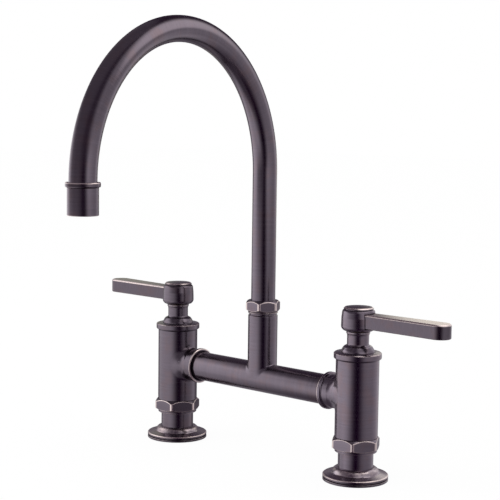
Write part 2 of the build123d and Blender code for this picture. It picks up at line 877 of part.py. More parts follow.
def write(name, shape):
    """Writes one piece, or a group of separate solids, to its own file."""
    solids = solids_of(shape)
    export_step(solids[0] if len(solids) == 1 else Compound(children=solids), f"parts/{name}.step")


def write_leg(side):
    """Writes the pieces of one leg, with its handle turned as it was left."""
    for name, make in (FIXED_LEG_PIECES | HANDLE_PIECES).items():
        turn = rest_turn[side] if name in HANDLE_PIECES else 0
        piece = Pos(leg_x, 0, 0) * Rot(0, 0, turn) * make()
        if side == "left":
            piece = mirror(piece, about=Plane.YZ)
        write(f"{side}_{name}", piece)


os.makedirs("parts", exist_ok=True)
write_leg("right")
write_leg("left")
for piece_name, make_piece in MIDDLE_PIECES.items():
    write(piece_name, make_piece())
for piece_name, make_piece in SPOUT_PIECES.items():
    write(piece_name, [Rot(0, 0, spout_swing) * solid for solid in solids_of(make_piece())])
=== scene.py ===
"""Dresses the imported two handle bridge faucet: turned and swept surfaces, oiled bronze, a white studio."""

import logging
import math
from dataclasses import dataclass, replace
from enum import Enum
from typing import Any, Callable, Sequence

import bpy
import numpy as np
from mathutils import Matrix, Vector


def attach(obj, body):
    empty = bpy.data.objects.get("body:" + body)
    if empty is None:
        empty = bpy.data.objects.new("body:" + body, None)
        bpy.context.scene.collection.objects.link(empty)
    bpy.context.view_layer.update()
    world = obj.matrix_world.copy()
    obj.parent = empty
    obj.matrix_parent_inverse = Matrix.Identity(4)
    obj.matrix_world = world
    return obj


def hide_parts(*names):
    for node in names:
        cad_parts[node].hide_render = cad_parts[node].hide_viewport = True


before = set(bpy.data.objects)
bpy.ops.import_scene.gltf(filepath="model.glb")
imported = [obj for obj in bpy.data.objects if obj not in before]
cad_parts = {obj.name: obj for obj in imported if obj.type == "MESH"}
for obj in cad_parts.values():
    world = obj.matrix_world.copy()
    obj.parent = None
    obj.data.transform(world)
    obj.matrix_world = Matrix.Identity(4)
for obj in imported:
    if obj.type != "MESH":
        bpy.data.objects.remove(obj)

log = logging.getLogger("faucet")

# Sizes are in millimetres and angles in degrees, unless a comment says otherwise.
MM = 0.001  # a millimetre in metres
LEG_X = 101.6  # from the middle to each leg's axis
BRIDGE_Z = 68.1  # the height of the bridge's axis
DECK_LOW = -30.0  # the underside of the deck that the legs clamp
PART_GAP = 0.05  # between two pieces that are screwed or pushed together
SLIDE_GAP = 0.08  # between two pieces that turn in each other

WEAR_FADE = 0.35  # how far the wear of an edge runs out beside it
WORN_FLAT = 2.0  # a flat between two worn edges is worn all over up to this width
FLAT_SHARE = 0.45  # the most of a straight piece that one rounded corner may take
WELD_STEP = 1e-4  # points that agree to this become one vertex
FILLET_ROWS = 7  # the rows across a fillet between two surfaces
FILLET_UV = 3.0  # how wide such a fillet lies on its UV map
UV_SCALE = 0.01  # the UV map's units for a millimetre
CORNER_ROUND = 2.2 / 0.75  # the rounding beside a nut's corner flat, as a share of its cut
NO_MOVE = np.eye(3)


class Side(Enum):
    """The two legs. Each is built as the right one; the left one is its mirror image."""

    RIGHT = "right"
    LEFT = "left"

    @property
    def sign(self) -> float:
        """The sign of the leg's place along X."""
        return 1.0 if self is Side.RIGHT else -1.0

    @property
    def rest_turn(self) -> float:
        """Degrees that the lever was left short of its own side's line."""
        return 0.7 if self is Side.RIGHT else 1.6

    @property
    def tone(self) -> float:
        """A painted light level for the leg and its handle; the left ones are painted a shade darker."""
        return 1.17 if self is Side.RIGHT else 0.85

    @property
    def palm(self) -> tuple[float, float]:
        """How far hands have rubbed the top of its lever, at the root and at the tip."""
        return (0.40, 0.52) if self is Side.RIGHT else (0.34, 0.40)

    @property
    def handle_body(self) -> str:
        """The name of the body that the handle's pieces ride on."""
        return f"{self.value}_handle"


# ---------------------------------------------------------------- sections and sheets
@dataclass(frozen=True)
class Corner:
    """One corner of a closed section, in mm.

    Args:
        r: Its radius, or its first coordinate in a plan.
        z: Its height, or its second coordinate in a plan.
        fillet: The radius that rounds it.
        wear: How far the film is rubbed off it, from 0 to 1.
        bow: The radius of the arc that leads to it; 0 is straight, and a positive one bulges to the left.
    """

    r: float
    z: float
    fillet: float = 0.15
    wear: float = 0.0
    bow: float = 0.0


Row = tuple[complex, complex, float, int]  # a point of a path, its direction, its wear and its corner


@dataclass(frozen=True)
class Section:
    """A rounded closed path: its points as r + iz, tangents and wear, and the corner each one belongs to."""

    points: np.ndarray
    tangents: np.ndarray
    wear: np.ndarray
    corner: np.ndarray  # -1 between two corners

    @property
    def normals(self) -> np.ndarray:
        """The outward directions, to the right of the path where it runs anticlockwise."""
        area = np.sum(np.imag(np.conj(self.points[:-1]) * self.points[1:]))
        return -1j * self.tangents * np.sign(area)

    @property
    def run(self) -> np.ndarray:
        """The length along the path up to each point."""
        return np.concatenate(([0.0], np.cumsum(np.abs(np.diff(self.points)))))


def bow_samples(start: complex, end: complex, radius: float) -> list[tuple[complex, complex]]:
    """Samples the inside of an arc between two corners.

    Args:
        start: Where it starts.
        end: Where it ends.
        radius: Its radius, positive where it bulges to the left of the way it runs; 0 gives no samples.

    Returns:
        Pairs of a point and the arc's direction there.
    """
    if radius == 0:
        return []
    chord = end - start
    left = 1j * chord / abs(chord)
    centre = (start + end) / 2 - left * math.copysign(math.sqrt(radius**2 - abs(chord) ** 2 / 4), radius)
    sweep = np.angle((end - centre) / (start - centre))
    count = max(2, math.ceil(abs(math.degrees(sweep)) / 7))
    samples = []
    for step in range(1, count):
        spoke = (start - centre) * np.exp(1j * sweep * step / count)
        samples.append((centre + spoke, 1j * math.copysign(1.0, sweep) * spoke / abs(spoke)))
    return samples


def rounded(corners: Sequence[Corner], step: float = 0.0) -> Section:
    """Rounds every corner of a closed section with its own fillet.

    The wear of a corner fades out beside it, but a short flat between two worn corners is worn all over.

    Args:
        corners: The corners in order; the path closes from the last to the first.
        step: The longest straight piece to leave undivided, or 0 for no dividing.

    Returns:
        The closed path, whose last point repeats its first.
    """
    nodes: list[tuple[complex, complex | None, int]] = []
    for index, corner in enumerate(corners):
        before = corners[index - 1]
        start, end = complex(before.r, before.z), complex(corner.r, corner.z)
        nodes += [(point, tangent, -1) for point, tangent in bow_samples(start, end, corner.bow)]
        nodes.append((end, None, index))
    rows: list[Row] = []
    for place, (point, tangent, index) in enumerate(nodes):
        if tangent is not None:
            rows.append((point, tangent, 0.0, -1))
            continue
        back, ahead = point - nodes[place - 1][0], nodes[(place + 1) % len(nodes)][0] - point
        into, out = back / abs(back), ahead / abs(ahead)
        turn = np.angle(out / into)
        room_back, room_ahead = FLAT_SHARE * abs(back), FLAT_SHARE * abs(ahead)
        reach = min(corners[index].fillet * math.tan(abs(turn) / 2), room_back, room_ahead)
        wear = corners[index].wear
        if reach < 1e-4:
            rows += [(point, into, wear, index), (point, out, wear, index)]
            continue
        centre = point - into * reach + 1j * into * math.copysign(reach / math.tan(abs(turn) / 2), turn)
        worn_before = abs(back) < WORN_FLAT and corners[index - 1].wear > 0
        worn_after = abs(ahead) < WORN_FLAT and corners[(index + 1) % len(corners)].wear > 0
        fade = min(WEAR_FADE, room_back - reach)
        if wear and fade > 0.02 and not worn_before:
            rows.append((point - into * (reach + fade), into, 0.0, index))
        count = max(2, math.ceil(abs(math.degrees(turn)) / 15))
        for part in range(count + 1):
            spin = np.exp(1j * turn * part / count)
            rows.append((centre + (point - into * reach - centre) * spin, into * spin, wear, index))
        fade = min(WEAR_FADE, room_ahead - reach)
        if wear and fade > 0.02 and not worn_after:
            rows.append((point + out * (reach + fade), out, 0.0, index))
    rows.append(rows[0])
    if step:
        rows = divided(rows, step)
    points, tangents, wear, owner = (np.array(column) for column in zip(*rows))
    return Section(points, tangents, wear.astype(float), owner.astype(int))


def divided(rows: list[Row], step: float) -> list[Row]:
    """Divides the straight pieces of a path that are longer than a step.

    Args:
        rows: The path's points, directions, wear and corners.
        step: The longest piece to leave, in mm.

    Returns:
        The same path with more points.
    """
    finer = []
    for here, there in zip(rows, rows[1:]):
        finer.append(here)
        count = math.ceil(abs(there[0] - here[0]) / step)
        for part in range(1, count):
            share = part / count
            blend = (1 - share) * np.array(here[:3]) + share * np.array(there[:3])
            finer.append((blend[0], blend[1] / max(abs(blend[1]), 1e-9), float(blend[2].real), -1))
    return finer + [rows[-1]]


@dataclass(frozen=True)
class Sheet:
    """A grid of points over two parameters, in mm, with what the shader needs at each point.

    Args:
        points: Rows by columns by 3.
        normals: The outward directions, the same shape.
        wear: Rows by columns, from 0 to 1.
        grain: Rows by columns by 3: two slow coordinates round the piece and one across the brushing.
        uv: Rows by columns by 2.
    """

    points: np.ndarray
    normals: np.ndarray
    wear: np.ndarray
    grain: np.ndarray
    uv: np.ndarray

    def placed(self, matrix: np.ndarray, offset: Sequence[float] = (0, 0, 0)) -> "Sheet":
        """The sheet turned or mirrored by a 3 by 3 matrix and then moved, with its brushing kept."""
        points = self.points @ matrix.T + np.array(offset)
        return replace(self, points=points, normals=self.normals @ matrix.T)

    def moved(self, x: float = 0.0, y: float = 0.0, z: float = 0.0) -> "Sheet":
        """The sheet moved along the axes."""
        return self.placed(NO_MOVE, (x, y, z))

    def with_radius(self, radius: np.ndarray) -> "Sheet":
        """The sheet with every point brought to a new distance from Z, and its directions worked out again.

        Args:
            radius: The new distances, one for each point.

        Returns:
            The changed sheet.
        """
        points = self.points.copy()
        points[..., :2] *= (radius / self.radius)[..., None]
        return self.reshaped(points)

    @property
    def radius(self) -> np.ndarray:
        """Each point's distance from Z."""
        return np.hypot(self.points[..., 0], self.points[..., 1])

    def reshaped(self, points: np.ndarray) -> "Sheet":
        """The sheet with new points, and directions worked out from them.

        Args:
            points: The new points, in the same grid.

        Returns:
            The new sheet; each direction is the cross product of its row's and its column's slope, turned the
            way the old one faces.
        """
        across = np.gradient(wrapped(points, 1), axis=1)[:, 2:-2]
        along = np.gradient(wrapped(points, 0), axis=0)[2:-2]
        normals = np.cross(across, along)
        normals /= np.maximum(np.linalg.norm(normals, axis=-1, keepdims=True), 1e-9)
        facing = np.sign(np.sum(normals * self.normals, axis=-1, keepdims=True))
        flat = np.abs(facing) < 0.5
        normals = np.where(flat, self.normals, normals * np.where(flat, 1, facing))
        return replace(self, points=points, normals=normals)


def wrapped(points: np.ndarray, axis: int) -> np.ndarray:
    """A closed grid with two more rows at both ends of one axis, taken from its other end.

    Args:
        points: The grid, whose last row repeats its first.
        axis: The axis to lengthen.

    Returns:
        The longer grid.
    """
    size = points.shape[axis]
    order = np.concatenate((np.arange(size - 3, size - 1), np.arange(size), np.arange(1, 3)))
    return np.take(points, order, axis=axis)


def turn_about_z(degrees: float) -> np.ndarray:
    """The 3 by 3 matrix that turns anticlockwise about Z."""
    cos, sin = math.cos(math.radians(degrees)), math.sin(math.radians(degrees))
    return np.array(((cos, -sin, 0), (sin, cos, 0), (0, 0, 1)))


def mirror_x(side: Side) -> np.ndarray:
    """The 3 by 3 matrix that makes a right hand piece the piece of its own side."""
    return np.diag((side.sign, 1.0, 1.0))


LAY_ALONG_X = np.array(((0, 0, 1), (1, 0, 0), (0, 1, 0)), dtype=float)
POINT_INWARDS = np.array(((0, 0, -1), (0, 1, 0), (1, 0, 0)), dtype=float)


def once_round() -> np.ndarray:
    """The angles once round a fillet between two tubes; the last repeats the first."""
    return np.append(np.linspace(0, 2 * np.pi, 121)[:-1], 0.0)


def bell(values: np.ndarray, middle: float, width: float) -> np.ndarray:
    """A bell curve that is 1 at its middle: e to the minus square of the distance in widths."""
    return np.exp(-(((values - middle) / width) ** 2))


def smooth_step(share: np.ndarray) -> np.ndarray:
    """The usual 3s squared minus 2s cubed, of a share kept between 0 and 1."""
    kept = np.clip(share, 0, 1)
    return kept * kept * (3 - 2 * kept)


def turned(section: Section, segments: int = 120, angles: np.ndarray | None = None) -> Sheet:
    """Turns a section about Z: x = r cos t, y = r sin t, z = z, for t once round.

    Args:
        section: The closed section.
        segments: How many columns there are round the axis.
        angles: The columns' own angles in radians, in place of equal ones, from one turn's start to its end.

    Returns:
        The closed sheet; its brushing runs round the axis.
    """
    t = np.linspace(0, 2 * np.pi, segments + 1) if angles is None else angles
    cos, sin = np.cos(t), np.sin(t)
    cos[-1], sin[-1] = cos[0], sin[0]
    r, z = section.points.real[:, None], section.points.imag[:, None]
    n = section.normals[:, None]
    points = np.stack((r * cos, r * sin, z + 0 * cos), axis=-1)
    normals = np.stack((n.real * cos, n.real * sin, n.imag + 0 * cos), axis=-1)
    size = float(np.max(section.points.real))
    run = section.run[:, None] + 0 * cos
    grain = np.stack((size * cos + 0 * r, size * sin + 0 * r, run), axis=-1)
    uv = np.stack((size * t + 0 * r, run), axis=-1)
    return Sheet(points, normals, section.wear[:, None] + 0 * cos, grain, uv)


def bridged(
    first: np.ndarray, control: np.ndarray, last: np.ndarray, start: np.ndarray, end: np.ndarray
) -> Sheet:
    """The small concave fillet where two surfaces meet: a quadratic curve over each column's three points.

    Args:
        first: The columns' points on the first surface.
        control: The columns' points where the two surfaces meet.
        last: The columns' points on the second surface.
        start: The directions of the first surface there.
        end: The directions of the second surface there.

    Returns:
        The strip, whose directions pass from the first surface's to the second's.
    """
    s = np.linspace(0, 1, FILLET_ROWS)[:, None, None]
    points = (1 - s) ** 2 * first + 2 * s * (1 - s) * control + s**2 * last
    normals = (1 - s) * start + s * end
    normals /= np.linalg.norm(normals, axis=-1, keepdims=True)
    run = np.cumsum(np.linalg.norm(np.diff(control, axis=0, prepend=control[:1]), axis=-1))
    uv = np.stack((run + 0 * s[..., 0], FILLET_UV * s[..., 0] + 0 * run), axis=-1)
    return Sheet(points, normals, np.zeros(points.shape[:2]), points.copy(), uv)


def index_sheet(sheet: Sheet, first: int) -> tuple[np.ndarray, ...]:
    """Welds a sheet's seam and poles, and lists its faces.

    Args:
        sheet: The grid.
        first: The number of the first of its vertices.

    Returns:
        Vertex places, directions, wear and grain, then the loops' vertices and UVs, and the faces' sizes.
    """
    rows, columns = sheet.wear.shape
    flat = sheet.points.reshape(-1, 3)
    places = np.round(flat / WELD_STEP).astype(np.int64)
    _, keep, weld = np.unique(places, axis=0, return_index=True, return_inverse=True)
    weld = weld.reshape(-1)
    normals = np.zeros((len(keep), 3))
    np.add.at(normals, weld, sheet.normals.reshape(-1, 3))
    normals /= np.maximum(np.linalg.norm(normals, axis=-1, keepdims=True), 1e-9)
    grid = np.arange(rows * columns).reshape(rows, columns)
    quads = np.stack((grid[:-1, :-1], grid[:-1, 1:], grid[1:, 1:], grid[1:, :-1]), axis=-1).reshape(-1, 4)
    corners = flat[quads]
    faces = np.cross(corners[:, 2] - corners[:, 0], corners[:, 3] - corners[:, 1])
    if np.sum(faces * sheet.normals.reshape(-1, 3)[quads].sum(axis=1)) < 0:
        quads = quads[:, ::-1]
    welded = weld[quads]
    used = welded != np.roll(welded, -1, axis=1)
    used &= used.sum(axis=1, keepdims=True) >= 3
    return (
        flat[keep], normals, sheet.wear.reshape(-1)[keep], sheet.grain.reshape(-1, 3)[keep],
        welded[used] + first, sheet.uv.reshape(-1, 2)[quads[used]], used.sum(axis=1)[used.any(axis=1)],
    )


def make_mesh(name: str, sheets: Sequence[Sheet]) -> bpy.types.Mesh:
    """Makes one mesh of several sheets, with their directions, wear, grain and UVs.

    Args:
        name: The mesh's name.
        sheets: The grids, in mm.

    Returns:
        The mesh, in metres.
    """
    parts, first = [], 0
    for sheet in sheets:
        parts.append(index_sheet(sheet, first))
        first += len(parts[-1][0])
    points, normals, wear, grain, loops, uv, sizes = (np.concatenate(column) for column in zip(*parts))
    mesh = bpy.data.meshes.new(name)
    mesh.vertices.add(len(points))
    mesh.vertices.foreach_set("co", (points * MM).ravel())
    mesh.loops.add(len(loops))
    mesh.loops.foreach_set("vertex_index", loops.astype(np.int32))
    mesh.polygons.add(len(sizes))
    starts = np.concatenate(([0], np.cumsum(sizes)[:-1]))
    mesh.polygons.foreach_set("loop_start", starts.astype(np.int32))
    mesh.uv_layers.new(name="uv").data.foreach_set("uv", (uv * UV_SCALE).ravel())
    mesh.attributes.new("wear", "FLOAT", "POINT").data.foreach_set("value", wear.astype(np.float32))
    along = mesh.attributes.new("grain", "FLOAT_VECTOR", "POINT").data
    along.foreach_set("vector", grain.astype(np.float32).ravel())
    mesh.update(calc_edges=True)
    mesh.validate(clean_customdata=False)
    mesh.shade_smooth()
    mesh.normals_split_custom_set_from_vertices(normals)
    return mesh


# ---------------------------------------------------------------- finishes
def linear(colour: str) -> tuple[float, float, float, float]:
    """Turns an sRGB colour such as #817a82 into the linear one that a shader takes."""
    channels = [int(colour[i : i + 2], 16) / 255 for i in (1, 3, 5)]
    return (*(c / 12.92 if c <= 0.04045 else ((c + 0.055) / 1.055) ** 2.4 for c in channels), 1.0)


def add_node(
    tree: bpy.types.NodeTree, kind: str, inputs: dict[str | int, Any] | None = None, **settings: Any
) -> Any:
    """Adds a node to a tree.

    Args:
        tree: The tree.
        kind: The node's type name.
        inputs: What each input gets: a plain value, or another node's output to link.
        **settings: The node's own properties.

    Returns:
        The node.
    """
    node = tree.nodes.new(kind)
    for key, value in settings.items():
        setattr(node, key, value)
    for key, value in (inputs or {}).items():
        if isinstance(value, bpy.types.NodeSocket):
            tree.links.new(value, node.inputs[key])
        else:
            node.inputs[key].default_value = value
    return node


def new_material(name: str) -> tuple[bpy.types.Material, bpy.types.NodeTree, Any]:
    """Makes a material with a bare Principled shader.

    Args:
        name: The material's name.

    Returns:
        The material, its tree and the shader.
    """
    material = bpy.data.materials.new(name)
    material.use_nodes = True
    tree = material.node_tree
    return material, tree, tree.nodes["Principled BSDF"]


@dataclass(frozen=True)
class OiledBronze:
    """Oil rubbed bronze: a brown violet film over brushed metal, rubbed through to copper on the edges.

    The film gives the dark, slightly rosy reflections, the brushing stretches them, and the copper draws the
    bright lines along the rims.

    Args:
        name: The material's name.
        film: The film's sRGB colour.
        rosy: Its colour where it turns rosy.
        copper: The colour of the metal where the film is rubbed through.
        roughness: The film's roughness.
        rubbed_roughness: The rubbed metal's roughness.
        mottle: The size of the rosy clouds.
        brush_length: The length of the brushing's lines.
        brush_width: Their spacing, about three times as coarse as the real one, to be seen.
        brush_depth: How deep they are.
        streak: How much lighter and darker than the film they are, as a share.
        speckle: The size of the spots in the wear.
    """

    name: str = "oiled_bronze"
    film: str = "#827983"
    rosy: str = "#86787f"
    copper: str = "#fff0ea"
    roughness: float = 0.19
    rubbed_roughness: float = 0.28
    mottle: float = 12.0
    brush_length: float = 30.0
    brush_width: float = 0.9
    brush_depth: float = 0.03
    streak: float = 0.09
    speckle: float = 5 / 3

    def material(self) -> bpy.types.Material:
        """Builds the material.

        Returns:
            The material. It reads three attributes of each piece: grain, wear and tone, a painted light and
            shade level.
        """
        material, tree, shader = new_material(self.name)
        place = add_node(tree, "ShaderNodeTexCoord").outputs["Object"]
        grain = add_node(tree, "ShaderNodeAttribute", attribute_name="grain").outputs["Vector"]
        wear = add_node(tree, "ShaderNodeAttribute", attribute_name="wear").outputs["Fac"]
        # tone: a painted light and shade level for each piece
        tone = add_node(tree, "ShaderNodeAttribute", attribute_name="tone").outputs["Fac"]
        clouds = add_node(
            tree, "ShaderNodeTexNoise",
            {"Vector": place, "Scale": 1 / (self.mottle * MM), "Detail": 4.0, "Roughness": 0.6},
        ).outputs["Fac"]
        stretch = (1 / self.brush_length, 1 / self.brush_length, 1 / self.brush_width)
        lines = add_node(tree, "ShaderNodeMapping", {"Vector": grain, "Scale": stretch}).outputs["Vector"]
        brush = add_node(
            tree, "ShaderNodeTexNoise", {"Vector": lines, "Scale": 1.0, "Detail": 3.0, "Roughness": 0.7}
        ).outputs["Fac"]
        rosy = add_node(
            tree, "ShaderNodeMapRange", {"Value": clouds, "From Min": 0.45, "From Max": 0.7},
            interpolation_type="SMOOTHSTEP",
        ).outputs["Result"]
        film = add_node(
            tree, "ShaderNodeMix", {0: rosy, 6: linear(self.film), 7: linear(self.rosy)}, data_type="RGBA"
        ).outputs[2]
        streak = add_node(
            tree, "ShaderNodeMapRange",
            {"Value": brush, "From Min": 0.3, "From Max": 0.7, "To Min": 1 - self.streak,
             "To Max": 1 + self.streak},
        ).outputs["Result"]
        # the painted light level scales the streaked film: painted light and shade for each piece
        streak = add_node(tree, "ShaderNodeMath", {0: streak, 1: tone}, operation="MULTIPLY").outputs["Value"]
        film = add_node(
            tree, "ShaderNodeVectorMath", {0: film, "Scale": streak}, operation="SCALE"
        ).outputs["Vector"]
        speckle = add_node(
            tree, "ShaderNodeTexNoise", {"Vector": place, "Scale": 1 / (self.speckle * MM), "Detail": 3.0}
        ).outputs["Fac"]
        patchy = add_node(
            tree, "ShaderNodeMapRange",
            {"Value": speckle, "From Min": 0.35, "From Max": 0.65, "To Min": 0.8, "To Max": 1.1},
        ).outputs["Result"]
        rubbed = add_node(tree, "ShaderNodeMath", {0: wear, 1: patchy}, operation="MULTIPLY").outputs["Value"]
        bare = add_node(
            tree, "ShaderNodeMapRange", {"Value": rubbed, "From Min": 0.2, "From Max": 0.65},
            interpolation_type="SMOOTHSTEP",
        ).outputs["Result"]
        colour = add_node(
            tree, "ShaderNodeMix", {0: bare, 6: film, 7: linear(self.copper)}, data_type="RGBA"
        ).outputs[2]
        satin = add_node(
            tree, "ShaderNodeMapRange",
            {"Value": brush, "From Min": 0.2, "From Max": 0.8, "To Min": self.roughness - 0.05,
             "To Max": self.roughness + 0.07},
        ).outputs["Result"]
        rough = add_node(
            tree, "ShaderNodeMapRange", {"Value": bare, "To Min": satin, "To Max": self.rubbed_roughness}
        ).outputs["Result"]
        bump = add_node(
            tree, "ShaderNodeBump", {"Height": brush, "Strength": 0.35, "Distance": self.brush_depth * MM}
        ).outputs["Normal"]
        tree.links.new(colour, shader.inputs["Base Color"])
        tree.links.new(rough, shader.inputs["Roughness"])
        tree.links.new(bump, shader.inputs["Normal"])
        shader.inputs["Metallic"].default_value = 1.0
        return material


@dataclass(frozen=True)
class Plain:
    """A plain material of an inner piece, with faint clouds in its colour and roughness.

    Args:
        name: The material's name.
        colour: Its sRGB colour.
        roughness: Its roughness.
        metallic: 1 for a metal.
        cloud: The size of its clouds, in mm.
        relief: The height of its bumps, in mm.
    """

    name: str
    colour: str
    roughness: float
    metallic: float = 0.0
    cloud: float = 4.0
    relief: float = 0.01

    def material(self) -> bpy.types.Material:
        """Builds the material.

        Returns:
            The material; its clouds make it up to a fifth darker, and a fifth smoother or rougher.
        """
        material, tree, shader = new_material(self.name)
        place = add_node(tree, "ShaderNodeTexCoord").outputs["Object"]
        clouds = add_node(
            tree, "ShaderNodeTexNoise", {"Vector": place, "Scale": 1 / (self.cloud * MM), "Detail": 5.0}
        ).outputs["Fac"]
        shade = [channel * 0.8 for channel in linear(self.colour)[:3]] + [1.0]
        colour = add_node(
            tree, "ShaderNodeMix", {0: clouds, 6: shade, 7: linear(self.colour)}, data_type="RGBA"
        ).outputs[2]
        rough = add_node(
            tree, "ShaderNodeMapRange",
            {"Value": clouds, "To Min": 0.8 * self.roughness, "To Max": min(1.0, 1.2 * self.roughness)},
        ).outputs["Result"]
        bump = add_node(
            tree, "ShaderNodeBump", {"Height": clouds, "Strength": 0.5, "Distance": self.relief * MM}
        ).outputs["Normal"]
        tree.links.new(colour, shader.inputs["Base Color"])
        tree.links.new(rough, shader.inputs["Roughness"])
        tree.links.new(bump, shader.inputs["Normal"])
        shader.inputs["Metallic"].default_value = self.metallic
        return material


@dataclass(frozen=True)
class Dresser:
    """Makes finished pieces of the faucet and hangs them on their bodies.

    Args:
        bronze: The finish of the pieces that are seen.
        steel: The finish of the nuts and washers below the deck.
        painted_shade_heights: The heights between which a painted shade darkens the film, low on the flanges'
            rims, where the metal would mirror the deck's shadow.
        painted_shade_levels: How light the painted shade leaves the film at each of those heights.
    """

    bronze: bpy.types.Material
    steel: bpy.types.Material
    painted_shade_heights: tuple[float, ...] = (-0.01, 0.0, 3.6, 4.7)
    painted_shade_levels: tuple[float, ...] = (1.0, 0.5, 0.65, 1.0)

    def add(
        self, name: str, body: str, sheets: Sequence[Sheet], metal: str = "dark_bronze", tone: float = 1.0
    ) -> bpy.types.Object:
        """Adds a piece that replaces the CAD node of the same name.

        Args:
            name: The CAD node's name.
            body: The body that it rides on.
            sheets: Its surfaces, in mm.
            metal: The material slot that it takes its finish from.
            tone: A painted light and shade level that scales its film, where 1 is the usual.

        Returns:
            The new object.
        """
        mesh = make_mesh(name, sheets)
        points = np.empty(3 * len(mesh.vertices), dtype=np.float32)
        mesh.vertices.foreach_get("co", points)
        # painted shade: the piece's painted light level, darkened low on the flanges' rims where they would
        # mirror the deck's shadow
        painted_shades = (tone * np.interp(points[2::3] / MM, self.painted_shade_heights, self.painted_shade_levels)).astype(np.float32)
        mesh.attributes.new("tone", "FLOAT", "POINT").data.foreach_set("value", painted_shades)
        piece = bpy.data.objects.new(f"{name}_dressed", mesh)
        bpy.context.scene.collection.objects.link(piece)
        piece.data.materials.append(self.steel if metal == "steel" else self.bronze)
        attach(piece, body)
        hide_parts(name)
        log.info("%s: %d faces", name, len(piece.data.polygons))
        return piece


